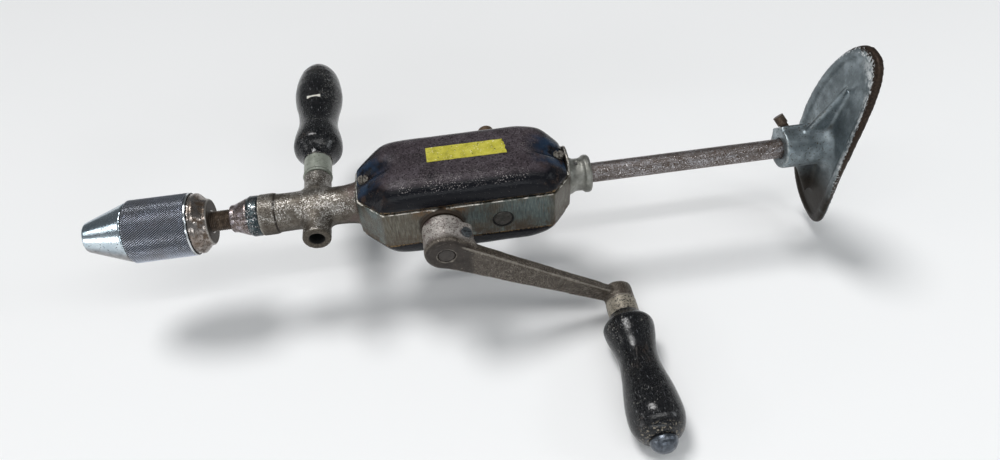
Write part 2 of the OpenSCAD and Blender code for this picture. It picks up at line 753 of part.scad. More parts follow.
module cover() difference() {
    cover_form();
    cover_hollow();
    cover_flute(case_x + screw_in, 1);
    cover_flute(case_end_x - screw_in, -1);
    each_cover_screw() {
        z_cyl(screw_shank_r + gap, band_half_h - cut, cover_half_h);
        z_cyl(screw_head_r + gap, band_half_h + screw_web, cover_half_h);
    }
    translate([case_end_x - flange_t - flange_play, -2 * end_half_w, 0])
        cube([2 * flange_t, 4 * end_half_w, 2 * cover_half_h]);
}
module top_cover() color([0.1, 0.09, 0.11]) cover();
module bottom_cover() color([0.1, 0.09, 0.11]) mirror([0, 0, 1]) cover();

module cover_screws() color("gray") for (side = [0, 1]) mirror([0, 0, side]) each_cover_screw() difference() {
    union() {
        z_cyl(screw_shank_r, bush_r + screw_end_web + flange_play, band_half_h + screw_web);
        z_cyl(screw_head_r, band_half_h + screw_web, screw_top_z);
    }
    translate([-screw_slot_w / 2, -screw_head_r - cut, screw_top_z - screw_slot_h])
        cube([screw_slot_w, 2 * screw_head_r + 2 * cut, screw_head_len]);
}

// Crank shaft and main gear
module crank_bush_near() color("peru") at_crank()
    y_ring(shaft_r + running, shaft_bush_r - seat, -case_half_w - crank_boss_h, -boss_in_y);
module crank_bush_far() color("peru") at_crank()
    y_ring(shaft_r + running, shaft_bush_r - seat, far_in_y, case_half_w - flush_back);
module crank_shaft() color("gray") at_crank() difference() {
    y_cyl(shaft_r, -hub_front, case_half_w - gap);
    at_gear_pin() x_cyl(pin_r + seat, -gear_hub_r, gear_hub_r);
    rotate([0, crank_droop, 0]) at_set_screw() z_cyl(set_thread_r, -hub_r, hub_r);
}
module crank_washer() color("silver") at_crank()
    y_ring(shaft_r + seat, shaft_bush_r + 1.5 * washer_rim, -boss_in_y + side_play, -rim_y1);
module crank_collar() color("gray") at_crank()
    y_ring(shaft_r + seat, shaft_bush_r + washer_rim, collar_y1 - collar_w, collar_y1);

module main_gear() color("dimgray") at_crank() difference() {
    union() {
        translate([0, -rim_y0, 0]) rotate([90, 0, 0]) rotate(low_angle + 180 / rim_teeth)
            linear_extrude(rim_w) spur_outline(rim_teeth);
        y_cyl(face_pitch_r + face_w / 2 + tooth_sink, -rim_y0, -face_root_y);
        y_cyl(gear_hub_r, -rim_y0, -gear_hub_y);
        for (i = [0:face_teeth - 1]) rotate([0, 180 + 360 * (i + 0.5) / face_teeth, 0])
            translate([face_pitch_r - face_w / 2, 0, 0]) face_tooth();
    }
    y_cyl(shaft_r + seat, -rim_y1 - cut, 0);
    at_gear_pin() x_cyl(pin_r + seat, -gear_hub_r - cut, gear_hub_r + cut);
}

// A face tooth that runs along +X, standing on the root plane
module face_tooth() {
    root_w = pitch * (tooth_share + face_root_spread);
    tip_w = pitch * (tooth_share - face_tip_spread);
    root_y = -face_root_y - tooth_sink;
    rotate([90, 0, 90]) linear_extrude(face_w) polygon(
        [[root_y, -root_w / 2], [-face_tip_y, -tip_w / 2], [-face_tip_y, tip_w / 2], [root_y, root_w / 2]]);
}

// Low-speed shaft
module low_speed_shaft() color("gray") at_low() difference() {
    union() {
        y_cyl(low_journal_r, -low_near_y, stub_y);
        y_cyl(shaft_r, stub_y - cut, stub_end_y);
    }
    at_gear_pin() x_cyl(pin_r + seat, -gear_hub_r, gear_hub_r);
}
module low_speed_pinion() color("dimgray") at_low() difference() {
    union() {
        translate([0, -rim_y0 - gap, 0]) rotate([90, 0, 0]) rotate(low_angle + 180)
            linear_extrude(rim_w - 2 * gap) spur_outline(low_teeth);
        y_cyl(low_hub_r, -rim_y0 - gap, -gear_hub_y);
    }
    y_cyl(low_journal_r + seat, -rim_y1, 0);
    at_gear_pin() x_cyl(pin_r + seat, -low_hub_r - cut, low_hub_r + cut);
}
module low_shaft_collar() color("gray") at_low()
    y_ring(low_journal_r + seat, low_boss_r, collar_y1 - collar_w, collar_y1);

// Crank arm, its screw and the pin for the grip
module arm_form() hull() {
    translate([0, -arm_back, 0]) rotate([90, 0, 0])
        linear_extrude(arm_t) square([cut, arm_root_w], center = true);
    translate([crank_radius, -end_boss_y1 + arm_set_back + arm_tip_t, 0]) rotate([90, 0, 0])
        linear_extrude(arm_tip_t) square([cut, arm_tip_w], center = true);
}

module lug_edge(y0) translate([lug_reach - lug_end_r, 0, hub_r - lug_end_r]) y_cyl(lug_end_r, -lug_y1, -y0);
module screw_lug() {
    hull() {
        y_cyl(hub_r, -lug_y1, -lug_y0);
        lug_edge(lug_y0);
    }
    hull() {
        lug_edge(arm_back);
        translate([lug_foot, 0, arm_root_w / 2 - 2 * lug_end_r]) y_cyl(lug_end_r, -lug_y1, -arm_back);
    }
}

module crank_arm() color("rosybrown") at_arm() difference() {
    union() {
        near_turned([[0, hub_back], [hub_r - hub_back_edge, hub_back], [hub_r, hub_back + hub_back_edge],
            [hub_r, hub_front - hub_front_edge], [hub_r - hub_front_edge, hub_front], [0, hub_front]]);
        arm_form();
        translate([crank_radius, 0, 0]) near_turned([[0, end_boss_y0], [end_boss_r - boss_edge, end_boss_y0],
            [end_boss_r, end_boss_y0 + boss_edge], [end_boss_r, end_boss_y1], [0, end_boss_y1]]);
        screw_lug();
    }
    y_cyl(shaft_r + seat, -hub_front - cut, -hub_back + cut);
    translate([crank_radius, 0, 0])
        y_cyl(grip_pin_r - grip_pin_step, -end_boss_y1 - cut, -end_boss_y0 + cut);
    at_set_screw() z_cyl(set_thread_r, -screw_tip - gap, hub_r + cut);
}

module crank_set_screw() color("slategray") at_arm() at_set_screw() difference() {
    union() {
        z_cyl(set_thread_r - seat, -screw_tip, hub_r);
        z_cyl(set_screw_r, hub_r, hub_r + screw_head_h);
    }
    translate([-set_screw_r - cut, -set_slot_w / 2, hub_r + screw_head_h - set_slot_h])
        cube([2 * set_screw_r + 2 * cut, set_slot_w, screw_head_h]);
}

module grip_pin() color("gray") at_grip() {
    y_cyl(grip_pin_r, -grip_y1 - gap, -end_boss_y1);
    y_cyl(grip_pin_r - grip_pin_step - seat, -end_boss_y1 - seat, -end_boss_y0 + pin_tail);
}
module grip_end_cap() color("slategray") at_grip() near_turned(concat(
    [[0, grip_y1 + gap], [cap_r - cap_draw_in, grip_y1 + gap]],
    [for (p = arc(0, 0, 1, 0, 90)) [cap_r * p[0], grip_y1 + gap + cap_rim + (cap_len - cap_rim) * p[1]]]));

// Wooden grips: shoulder, waist, belly and a rounded end, each given as [radius, place along the grip]
function grip_profile(neck, bulb, waist, belly, end) = concat(
    swell(neck, bulb, 5), swell(bulb, waist), swell(waist, belly),
    [for (p = arc(0, 0, 1, 0, 90, 7))
        [end[0] + (belly[0] - end[0]) * p[0], belly[1] + (end[1] - belly[1]) * p[1]]]);

module crank_grip() color([0.06, 0.06, 0.07]) at_grip() difference() {
    union() {
        near_turned(concat([[0, wood_y0]],
            grip_profile([grip_ferrule_r + wood_lip, wood_y0], [grip_bulb_r, wood_y0 + grip_bulb_at],
                [grip_waist_r, wood_y0 + grip_waist_at], [grip_belly_r, grip_y1 - grip_belly_back],
                [cap_r - wood_lip, grip_y1]),
            [[0, grip_y1]]));
        y_cyl(grip_ferrule_r - ferrule_t - seat, -wood_y0 - seat, -grip_y0 - cut);
    }
    y_cyl(grip_pin_r + running, -grip_y1 - cut, -grip_y0);
}
module crank_grip_ferrule() color("tan") at_grip()
    y_ring(grip_ferrule_r - ferrule_t, grip_ferrule_r, -wood_y0, -grip_y0);

// Side handle, screwed into the far socket
module side_handle_stud() color("gray") at_socket() y_cyl(socket_hole_r - thread_play, stud_in_y, stud_out_y);
module side_handle_ferrule() color("gray") at_socket() y_turned([[handle_ferrule_r - ferrule_t, handle_y0],
    [handle_ferrule_r - wood_lip, handle_y0], [handle_ferrule_r + wood_lip, handle_y0 + edge],
    [handle_ferrule_r, handle_y0 + 2 * edge], [handle_ferrule_r, handle_wood_y0 + ferrule_lap],
    [handle_ferrule_r - ferrule_t, handle_wood_y0 + ferrule_lap]]);
module side_handle_grip() color([0.06, 0.06, 0.07]) at_socket() difference() {
    y_turned(concat(
        [[0, handle_y0 + edge], [handle_ferrule_r - ferrule_t - seat, handle_y0 + edge],
            [handle_ferrule_r - ferrule_t - seat, handle_wood_y0 + ferrule_lap + seat],
            [handle_ferrule_r + seat, handle_wood_y0 + ferrule_lap + seat],
            [handle_ferrule_r + seat, handle_wood_y0]],
        grip_profile([handle_ferrule_r + wood_lip, handle_wood_y0],
            [handle_bulb_r, handle_wood_y0 + handle_bulb_at],
            [handle_waist_r, handle_wood_y0 + handle_waist_at],
            [handle_belly_r, handle_y1 - handle_belly_back], [2 * edge, handle_y1]),
        [[0, handle_y1]]));
    y_cyl(socket_hole_r, handle_y0, stud_out_y + gap);
}

// Breast tube and plate
module breast_tube() color("rosybrown") difference() {
    x_ring(tube_bore_r, tube_r, cavity_x1, tube_end_x);
    at_tube_pin() z_cyl(pin_r + seat, -2 * tube_r, 2 * tube_r);
}
module tube_pin() color("gray") at_tube_pin() z_cyl(pin_r, -rear_neck_r + gap, rear_neck_r - gap);

// A round bar along Y whose front touches the plate's front, less a depth
module bend_bar(depth) translate([plate_x + plate_bend_r, 0, 0]) rotate([90, 0, 0])
    cylinder(r = plate_bend_r - depth, h = 4 * plate_half_w, center = true, $fn = 180);
module plate_prism(inset) translate([boss_x, 0, 0]) rotate([90, 0, 90]) linear_extrude(boss_len + plate_reach)
    polygon(oval(plate_half_len - inset, plate_half_w - inset));

module plate_rib() rotate([90, 0, 0]) translate([0, 0, -rib_t / 2]) linear_extrude(rib_t)
    polygon([[boss_x + rib_start, boss_r - rib_t], [plate_x + rib_t, rib_reach],
        [plate_x + 2 * rib_t, boss_r - rib_t]]);

module plate_front() {
    x_cyl(boss_r, boss_x, plate_x + rim_t);
    x_turned(concat([[0, plate_x - flare_r]],
        arc(boss_r + flare_r, plate_x - flare_r / 2, flare_r, 180, 100, 6),
        [[boss_r + flare_r, plate_x + 2 * rim_t], [0, plate_x + 2 * rim_t]]));
    rotate([plate_screw_turn, 0, 0]) translate([boss_x, -pad_half_w, 0])
        cube([boss_len, 2 * pad_half_w, pad_r]);
    for (side = [0, 1]) mirror([0, 0, side]) plate_rib();
}

module breast_plate() color("darkseagreen") difference() {
    rotate([plate_roll, 0, 0]) difference() {
        union() {
            difference() {
                intersection() {
                    plate_prism(0);
                    bend_bar(0);
                }
                difference() {
                    plate_prism(rim_w_plate);
                    bend_bar(panel_depth);
                }
            }
            plate_front();
        }
        bend_bar(rim_t);
    }
    x_cyl(tube_r + running, boss_x - cut, tube_end_x + gap);
    at_plate_screw() z_cyl(plate_thread_r, 0, 2 * boss_r);
}

module at_plate_screw() rotate([plate_roll + plate_screw_turn, 0, 0]) translate([plate_screw_x, 0, tube_r])
    rotate([0, -plate_screw_lean, 0]) children();

module plate_set_screw() color("sienna") at_plate_screw() {
    z_cyl(plate_thread_r - seat, 2 * edge, plate_head_z);
    z_cyl(plate_screw_r, plate_head_z, plate_head_z + plate_head_h);
}

// Cross pins that hold the gears to their shafts
module gear_pin() color("silver") at_crank() at_gear_pin()
    x_cyl(pin_r, -gear_hub_r + edge, gear_hub_r - edge);
module low_pinion_pin() color("silver") at_low() at_gear_pin()
    x_cyl(pin_r, -low_hub_r + edge, low_hub_r - edge);
module pinion_pin() color("silver") at_pinion_pin()
    z_cyl(pin_r, -pinion_hub_r + edge, pinion_hub_r - edge);

frame_casting();
top_cover();
bottom_cover();
cover_screws();
front_bush();
rear_bush();
bearing_ring();
crank_bush_near();
crank_bush_far();
side_handle_stud();
side_handle_ferrule();
side_handle_grip();
breast_tube();
tube_pin();
crank_shaft();
main_gear();
gear_pin();
crank_collar();
crank_washer();
crank_arm();
crank_set_screw();
grip_pin();
grip_end_cap();
crank_grip();
crank_grip_ferrule();
low_speed_shaft();
low_speed_pinion();
low_pinion_pin();
low_shaft_collar();
spindle();
bearing_cone();
spindle_pinion();
pinion_pin();
thrust_washer();
chuck_body();
bearing_balls();
chuck_sleeve();
chuck_nut();
chuck_jaw_1();
chuck_jaw_2();
chuck_jaw_3();
breast_plate();
plate_set_screw();
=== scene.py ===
"""Looks of a worn hand-cranked breast drill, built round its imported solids.

Lengths in the named values are millimetres in the part's own frame: the origin is the middle of the
chuck's mouth, +X runs along the spindle to the breast plate, the crank is on the -Y side, +Z is up.
Lamps are placed and sized in metres.
"""
import json
import math

import bmesh
import bpy
import numpy as np
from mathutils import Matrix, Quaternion, Vector, noise


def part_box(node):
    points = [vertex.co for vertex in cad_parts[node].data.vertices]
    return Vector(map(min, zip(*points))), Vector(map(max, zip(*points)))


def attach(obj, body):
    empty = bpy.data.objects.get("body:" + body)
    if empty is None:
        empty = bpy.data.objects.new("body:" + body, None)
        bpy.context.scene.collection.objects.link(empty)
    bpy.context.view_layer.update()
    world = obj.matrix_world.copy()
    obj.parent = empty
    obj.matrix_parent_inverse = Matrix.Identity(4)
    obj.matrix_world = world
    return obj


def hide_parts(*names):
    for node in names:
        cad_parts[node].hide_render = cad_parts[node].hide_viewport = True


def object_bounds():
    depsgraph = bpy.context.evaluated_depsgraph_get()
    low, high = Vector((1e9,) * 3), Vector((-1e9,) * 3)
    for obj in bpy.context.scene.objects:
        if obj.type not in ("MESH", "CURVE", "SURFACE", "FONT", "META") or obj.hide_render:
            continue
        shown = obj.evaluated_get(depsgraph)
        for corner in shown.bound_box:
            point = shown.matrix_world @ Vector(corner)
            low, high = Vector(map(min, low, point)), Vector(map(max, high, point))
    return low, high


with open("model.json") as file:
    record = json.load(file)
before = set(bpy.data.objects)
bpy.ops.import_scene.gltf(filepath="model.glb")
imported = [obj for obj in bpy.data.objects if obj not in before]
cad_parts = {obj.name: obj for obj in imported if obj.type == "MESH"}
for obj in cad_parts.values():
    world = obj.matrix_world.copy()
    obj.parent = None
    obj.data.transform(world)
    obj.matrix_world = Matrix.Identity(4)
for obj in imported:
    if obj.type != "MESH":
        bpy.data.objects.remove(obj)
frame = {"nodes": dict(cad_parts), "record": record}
cad_low, cad_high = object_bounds()

MM = 0.001
RECORD = frame["record"]
BODY_OF = {node: body for body, nodes in RECORD["behaviour"]["bodies"].items() for node in nodes}


def span(node, axis):
    """Lowest and highest place of a node along one axis, in millimetres."""
    low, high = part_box(node)
    return low[axis] / MM, high[axis] / MM


# Places read from the solids
SLEEVE_X0, SLEEVE_X1 = span("chuck_sleeve", 0)
SLEEVE_R = span("chuck_sleeve", 2)[1]
CASE_X0, CASE_X1 = span("top_cover", 0)
COVER_TOP = span("top_cover", 2)[1]
BAND_HALF_H = span("top_cover", 2)[0]
CASE_HALF_W = span("top_cover", 1)[1]
SPINDLE_X0, SPINDLE_X1 = span("spindle", 0)
SPINDLE_R = span("spindle", 2)[1]
PINION_X0 = span("spindle_pinion", 0)[0]
CONE_X0 = span("bearing_cone", 0)[0]
CHUCK_LEN = span("chuck_body", 0)[1]
NOSE_X = span("frame_casting", 0)[0]
CRANK_X = sum(span("crank_shaft", 0)) / 2
CRANK_SHAFT_R = span("crank_shaft", 2)[1]
CRANK_SHAFT_END = span("crank_shaft", 1)[1]
HUB_FRONT = -span("crank_shaft", 1)[0]
LOW_X = sum(span("low_speed_shaft", 0)) / 2
LOW_Z = sum(span("low_speed_shaft", 2)) / 2
LOW_R = (span("low_speed_shaft", 2)[1] - span("low_speed_shaft", 2)[0]) / 2
LOW_Y0, LOW_Y1 = span("low_speed_shaft", 1)
PLATE_X0, PLATE_X1 = span("breast_plate", 0)
PLATE_HALF_LEN = span("breast_plate", 2)[1]
PLATE_HALF_W = span("breast_plate", 1)[1]
GRIP_Y0, GRIP_Y1 = span("crank_grip", 1)
HANDLE_X = sum(span("side_handle_grip", 0)) / 2
FERRULE_Y0 = span("side_handle_ferrule", 1)[0]

# Sizes of the solids that their boxes don't give
CRANK_BOSS_R = 13.4
SOCKET_MOUTH = -26.8
SOCKET_HOLE_R = 4.7
NOSE_COLLAR_LEN = 10.0
SLEEVE_WALL = 1.85
SLEEVE_BEARING_R = 13.54
SLEEVE_BEARING_W = 4.7
SPINDLE_END_R = 4.8
LOW_STEP_OUT = 0.9
PLATE_POWER = 2.37
RIB_END = 38.0

# Sizes of what is modelled here
KNURL_STARTS = 94
KNURL_PITCH = 1.45
KNURL_DEPTH = 0.42
KNURL_TWIST = 24.0
SLEEVE_EDGE = 1.0
SLEEVE_RING_W = 1.9
RING_GROOVE_AT = 0.2
RING_START = 0.5
RING_INSET = 0.1
RING_CHAMFER = 0.7
THREAD_PITCH = 1.1
THREAD_DEPTH = 0.4
THREAD_STEPS = 8
THREAD_HIDDEN = 1.0
SHAFT_COLUMNS = 64
SHAFT_CHAMFER = 0.7
SHAFT_SET_BACK = 0.3
SHAFT_HOLLOW = 0.2
WHITE_CHIP = (140.0, 96.0)
GRIP_RING_AT = 3.4
LABEL_LEN = 49.0
LABEL_W = 12.6
LABEL_X0 = 213.0
LABEL_MIDDLE_Y = 2.6
LABEL_T = 0.22

# Joining, smoothing and wear of skins
JOIN_WITHIN = 0.002
EVEN_SHARE = 0.5
WEAR_GAIN = 8
WEAR_SPREAD = 4

# Camera, as the photograph was taken
CAMERA_AT = (218.2, -349.6, 348.3)
CAMERA_AIM = (253.7, -17.5, -23.8)
CAMERA_ROLL = -3.06
CAMERA_LENS = 27.79
CAMERA_SENSOR_W = 36.0
CAMERA_CLIP = 10.0

# Studio
FLOOR_SIZE = 8000.0
FLOOR_DROP = 0.5
FLOOR_COLOR = (0.92, 0.92, 0.92, 1.0)
FLOOR_ROUGH = 0.9
ROOM_COLOR = (0.92, 0.97, 1.0, 1.0)
ROOM_FRONT, ROOM_BACK = 0.44, 0.18
ROOM_OVERHEAD = 0.5
DRILL_MIDDLE = (243.0, 0.0, 0.0)
CHUCK_MIDDLE = (13.0, 0.0, 0.0)
WHITE = (1.0, 1.0, 1.0)
COOL = (0.93, 0.97, 1.0)
COOLER = (0.92, 0.97, 1.0)

# A Mix node's factor, two inputs and result, by the kind of value that it mixes
MIX_SOCKETS = {"RGBA": (0, 6, 7, 2), "FLOAT": (0, 2, 3, 0)}


def srgb(code):
    """A colour as it is seen, such as 8a8f93, as linear light."""
    values = [int(code[i:i + 2], 16) / 255 for i in (0, 2, 4)]
    linear = [v / 12.92 if v <= 0.04045 else ((v + 0.055) / 1.055) ** 2.4 for v in values]
    return (*linear, 1.0)


class Finish:
    """A procedural material: a base, layers laid over it through masks, and bumps."""

    def __init__(self, name, color=None, metal=0.0, rough=0.5):
        self.material = bpy.data.materials.new(name)
        self.material.use_nodes = True
        self.tree = self.material.node_tree
        self.shader = self.tree.nodes["Principled BSDF"]
        self.color = srgb(color) if color else None
        self.metal = metal
        self.rough = rough
        self.normal = None
        self.place = self.node("ShaderNodeTexCoord").outputs["Object"]

    def node(self, kind, fed=None, **settings):
        """A new node with its settings made and its inputs, by name or number, fed."""
        made = self.tree.nodes.new(kind)
        for name, value in settings.items():
            setattr(made, name, value)
        self.feed(made, fed or {})
        return made

    def feed(self, node, values):
        """Sets inputs of a node to numbers or colours, or links them to other nodes' outputs."""
        for name, value in values.items():
            if isinstance(value, bpy.types.NodeSocket):
                self.tree.links.new(value, node.inputs[name])
            else:
                node.inputs[name].default_value = value

    def axes(self):
        """The place on the part, as three sockets in millimetres."""
        scaled = self.node("ShaderNodeVectorMath", {0: self.place, "Scale": 1 / MM}, operation="SCALE")
        return list(self.node("ShaderNodeSeparateXYZ", {0: scaled.outputs[0]}).outputs)

    def facing(self, axis):
        """How far the surface faces along an axis of the part, from -1 to 1."""
        normal = self.node("ShaderNodeTexCoord").outputs["Normal"]
        return self.node("ShaderNodeSeparateXYZ", {0: normal}).outputs[axis]

    def attribute(self, name):
        return self.node("ShaderNodeAttribute", attribute_name=name).outputs["Fac"]

    def edge_wear(self, low, high):
        """Worn edges, or with levels below 0, the concave corners."""
        return self.ramp(self.attribute("wear"), low, high)

    def scaled_place(self, size, stretch, shift):
        """The place measured in features of size millimetres, shifted so that layers differ."""
        location = (shift, shift * 0.7, shift * 1.3)
        scale = [1 / (MM * size * s) for s in stretch]
        fed = {"Vector": self.place, "Location": location, "Scale": scale}
        return self.node("ShaderNodeMapping", fed).outputs[0]

    def noise(self, size, detail, rough, stretch=(1, 1, 1), shift=0.0):
        """Cloudy noise whose features are about size millimetres across."""
        place = self.scaled_place(size, stretch, shift)
        fed = {"Vector": place, "Scale": 1.0, "Detail": detail, "Roughness": rough}
        return self.node("ShaderNodeTexNoise", fed).outputs[0]

    def spots(self, size, share, shift):
        """Round specks, one in each cell of about size millimetres, on a share of the cells."""
        largest, soft = 0.42, 0.18
        place = self.scaled_place(size, (1, 1, 1), shift)
        cells = self.node("ShaderNodeTexVoronoi", {"Vector": place, "Scale": 1.0})
        parts = self.node("ShaderNodeSeparateColor", {0: cells.outputs["Color"]})
        chosen = self.ramp(parts.outputs[0], share, share - 0.02)
        reach = self.maths("MULTIPLY", self.ramp(parts.outputs[1], -0.6, 1.0), largest)
        near = self.maths("SUBTRACT", reach, cells.outputs["Distance"])
        return self.maths("MULTIPLY", chosen, self.ramp(near, 0.0, soft))

    def flecks(self, size, level, soft=0.05, shift=0.0, stretch=(1, 1, 1)):
        """Irregular chips: the peaks of a fine noise above a level."""
        fine = self.noise(size, detail=3.0, rough=0.6, stretch=stretch, shift=shift)
        return self.ramp(fine, level, level + soft)

    def distance(self, x, z):
        """Distance in millimetres from a line along Y."""
        kind, line = "ShaderNodeVectorMath", (x * MM, 0.0, z * MM)
        away = self.node(kind, {0: self.place, 1: line}, operation="SUBTRACT")
        flat = self.node(kind, {0: away.outputs[0], 1: (1 / MM, 0.0, 1 / MM)}, operation="MULTIPLY")
        return self.node(kind, {0: flat.outputs[0]}, operation="LENGTH").outputs["Value"]

    def ramp(self, value, low, high):
        """0 at low, 1 at high, and smooth between them, whichever is the larger."""
        fed = {"Value": value, "From Min": low, "From Max": high}
        return self.node("ShaderNodeMapRange", fed, interpolation_type="SMOOTHSTEP").outputs[0]

    def window(self, value, low, high, soft):
        """1 between low and high, and 0 outside."""
        return self.both(self.ramp(value, low - soft, low), self.ramp(value, high + soft, high))

    def maths(self, operation, first, second):
        return self.node("ShaderNodeMath", {0: first, 1: second}, operation=operation).outputs[0]

    def absolute(self, value):
        return self.maths("ABSOLUTE", value, 0.0)

    def both(self, first, *others):
        """1 where all masks are 1."""
        result = first
        for other in others:
            result = self.maths("MULTIPLY", result, other)
        return result

    def either(self, first, second):
        """1 where one of two masks is 1."""
        return self.maths("MAXIMUM", first, second)

    def tones(self, value, *stops):
        """A colour that runs through stops of (place, colour)."""
        made = self.node("ShaderNodeValToRGB", {0: value})
        elements = made.color_ramp.elements
        while len(elements) < len(stops):
            elements.new(1.0)
        for element, (place, code) in zip(elements, stops):
            element.position = place
            element.color = srgb(code)
        return made.outputs[0]

    def mixed(self, mask, under, over, kind):
        """Under where the mask is 0 and over where it is 1. What is the same all over stays plain."""
        if under == over:
            return under
        factor, first, second, result = MIX_SOCKETS[kind]
        fed = {factor: mask, first: under, second: over}
        return self.node("ShaderNodeMix", fed, data_type=kind).outputs[result]

    def over(self, mask, color, metal, rough):
        """Lays another finish over what is there, where the mask is 1."""
        laid = srgb(color) if isinstance(color, str) else color
        self.color = self.mixed(mask, self.color, laid, "RGBA")
        self.metal = self.mixed(mask, self.metal, metal, "FLOAT")
        self.rough = self.mixed(mask, self.rough, rough, "FLOAT")

    def bump(self, height, depth):
        """Raises the surface by up to depth millimetres where height is 1."""
        fed = {"Height": height, "Distance": depth * MM}
        if self.normal is not None:
            fed["Normal"] = self.normal
        self.normal = self.node("ShaderNodeBump", fed).outputs[0]

    def done(self, specular=0.5):
        """The finished material. specular is the gloss of what isn't metal."""
        self.feed(self.shader, {"Base Color": self.color, "Metallic": self.metal, "Roughness": self.rough,
                                "Specular IOR Level": specular, "Normal": self.normal})
        return self.material


# Finishes

def lay_nose(f, x, blotch, grain):
    """Dirt, painted sparkle above, painted shade below and along the collar's step, a stained root at the
    casing, a paler rear collar.
    """
    dirty = f.ramp(f.noise(5, 5, 0.65, shift=1), 0.36, 0.6)
    f.over(f.both(dirty, f.flecks(0.8, 0.51, 0.08, 2)), "4a4137", 0.5, 0.55)
    f.over(f.both(dirty, f.flecks(1.1, 0.6, 0.05, 5)), "2a231c", 0.3, 0.65)
    # Painted highlight: pale sparkle flecks on the faces that look up.
    lit = f.both(f.ramp(f.facing(2), 0.1, 0.7), f.ramp(f.noise(9, 4, 0.6, shift=6), 0.4, 0.58))
    f.over(f.both(lit, f.flecks(0.8, 0.53, 0.06, 9)), "d8d4ce", 0.5, 0.22)
    # Painted shade: darker brown on the faces that look down.
    underside_shade = f.ramp(f.facing(2), 0.05, -0.6)
    f.over(underside_shade, f.tones(blotch, (0.35, "241d16"), (0.65, "463d32")), 0.5, 0.6)
    root = f.window(x, CASE_X0 - 6, CASE_X0 - 1, 7)
    f.over(f.both(root, f.ramp(blotch, 0.44, 0.6)), "5a4d48", 0.6, 0.48)
    f.over(f.both(f.edge_wear(0.3, 0.8), f.ramp(grain, 0.4, 0.56)), "a8a39a", 0.9, 0.35)
    # Painted shade: a dark line along the step behind the nose collar.
    step = f.window(x, NOSE_X + NOSE_COLLAR_LEN, NOSE_X + NOSE_COLLAR_LEN + 0.7, 0.4)
    f.over(f.both(step, f.ramp(f.noise(5, 5, 0.65, shift=3), 0.36, 0.5)), "2a231c", 0.3, 0.7)
    rear = f.ramp(x, CASE_X1 + 1, CASE_X1 + 3)
    f.over(rear, f.tones(blotch, (0.3, "62615a"), (0.7, "9a9a94")), 0.75, 0.36)


def lay_socket(f, x, y, grain):
    """The near handle socket: a dark ground mouth, and painted shade in its hole."""
    mouth = f.both(f.ramp(x, CASE_X0 - 2, CASE_X0 - 4), f.ramp(y, SOCKET_MOUTH + 1.4, SOCKET_MOUTH + 0.6))
    f.over(mouth, f.tones(grain, (0.3, "342d26"), (0.7, "5e574d")), 0.6, 0.5)
    # Painted shade: the hole is painted black.
    hole = f.both(f.ramp(f.distance(HANDLE_X, 0.0), SOCKET_HOLE_R + 0.5, SOCKET_HOLE_R + 0.2),
                  f.ramp(y, SOCKET_MOUTH + 0.3, SOCKET_MOUTH + 1.2))
    f.over(hole, "070605", 0.0, 0.9)


def lay_band(f, band, x, z):
    """Brushed metal with cool patches, streaks, darker brown patches low down, rust above the crank, and a
    painted highlight along the top lip.
    """
    brushing = f.noise(2.4, 6, 0.72, stretch=(0.3, 0.3, 3))
    f.over(band, f.tones(brushing, (0.3, "443f37"), (0.5, "5c584f"), (0.7, "7c7a70")), 0.85, 0.36)
    behind_crank = f.both(f.ramp(x, CRANK_X + 8, CRANK_X + 20), f.ramp(x, CASE_X1 - 8, CASE_X1 - 18))
    cool_place = f.either(behind_crank, f.ramp(x, CASE_X0 + 15, CASE_X0 + 11))
    cool = f.both(band, cool_place, f.ramp(f.noise(16, 4, 0.6, shift=5), 0.36, 0.6))
    f.over(cool, f.tones(brushing, (0.3, "454f4e"), (0.7, "7d8886")), 0.88, 0.33)
    streak = f.both(band, f.ramp(f.noise(2.2, 5, 0.7, stretch=(0.4, 0.4, 4), shift=8), 0.56, 0.66))
    f.over(streak, "5a4f3f", 0.5, 0.5)
    # Darker brown patches towards the bottom of the band.
    low_brown_patches = f.both(band, f.ramp(z, 2.0, -BAND_HALF_H), f.ramp(f.noise(7, 7, 0.72, shift=2), 0.4, 0.6))
    f.over(low_brown_patches, "4a3d30", 0.4, 0.6)
    rust_place = f.both(band, f.window(x, CRANK_X - 12, CRANK_X + 13, 9), f.ramp(z, 4.0, BAND_HALF_H))
    f.over(f.both(rust_place, f.ramp(f.noise(3, 6, 0.75, shift=7), 0.4, 0.55)), "6a5138", 0.25, 0.7)
    # Painted highlight: a broken bright line along the band's top lip.
    lip = f.both(band, f.ramp(z, BAND_HALF_H - 0.7, BAND_HALF_H - 0.35))
    f.over(f.both(lip, f.ramp(f.noise(6, 5, 0.65, shift=4), 0.44, 0.56)), "ccc8bf", 0.85, 0.3)


def lay_band_gaps(f, band, y):
    """Painted shade with rust at the crank's boss, painted shade round the second shaft, and darker concave
    corners in the band.
    """
    near_side = f.ramp(y, -CASE_HALF_W + 2, -CASE_HALF_W + 1)
    # Painted shade: the gap round the crank's boss, dark and rusty.
    boss = f.ramp(f.distance(CRANK_X, 0.0), CRANK_BOSS_R + 0.45, CRANK_BOSS_R + 0.15)
    f.over(f.both(near_side, boss), "33281e", 0.4, 0.6)
    # Painted shade: near black round the second shaft's disc.
    disc = f.window(f.distance(LOW_X, LOW_Z), 0.0, LOW_R + 0.9, 0.2)
    f.over(f.both(near_side, disc), "0f0d0b", 0.0, 0.9)
    # Darker in the band's concave corners.
    f.over(f.both(band, f.edge_wear(-0.3, -0.75)), "2a231c", 0.2, 0.8)


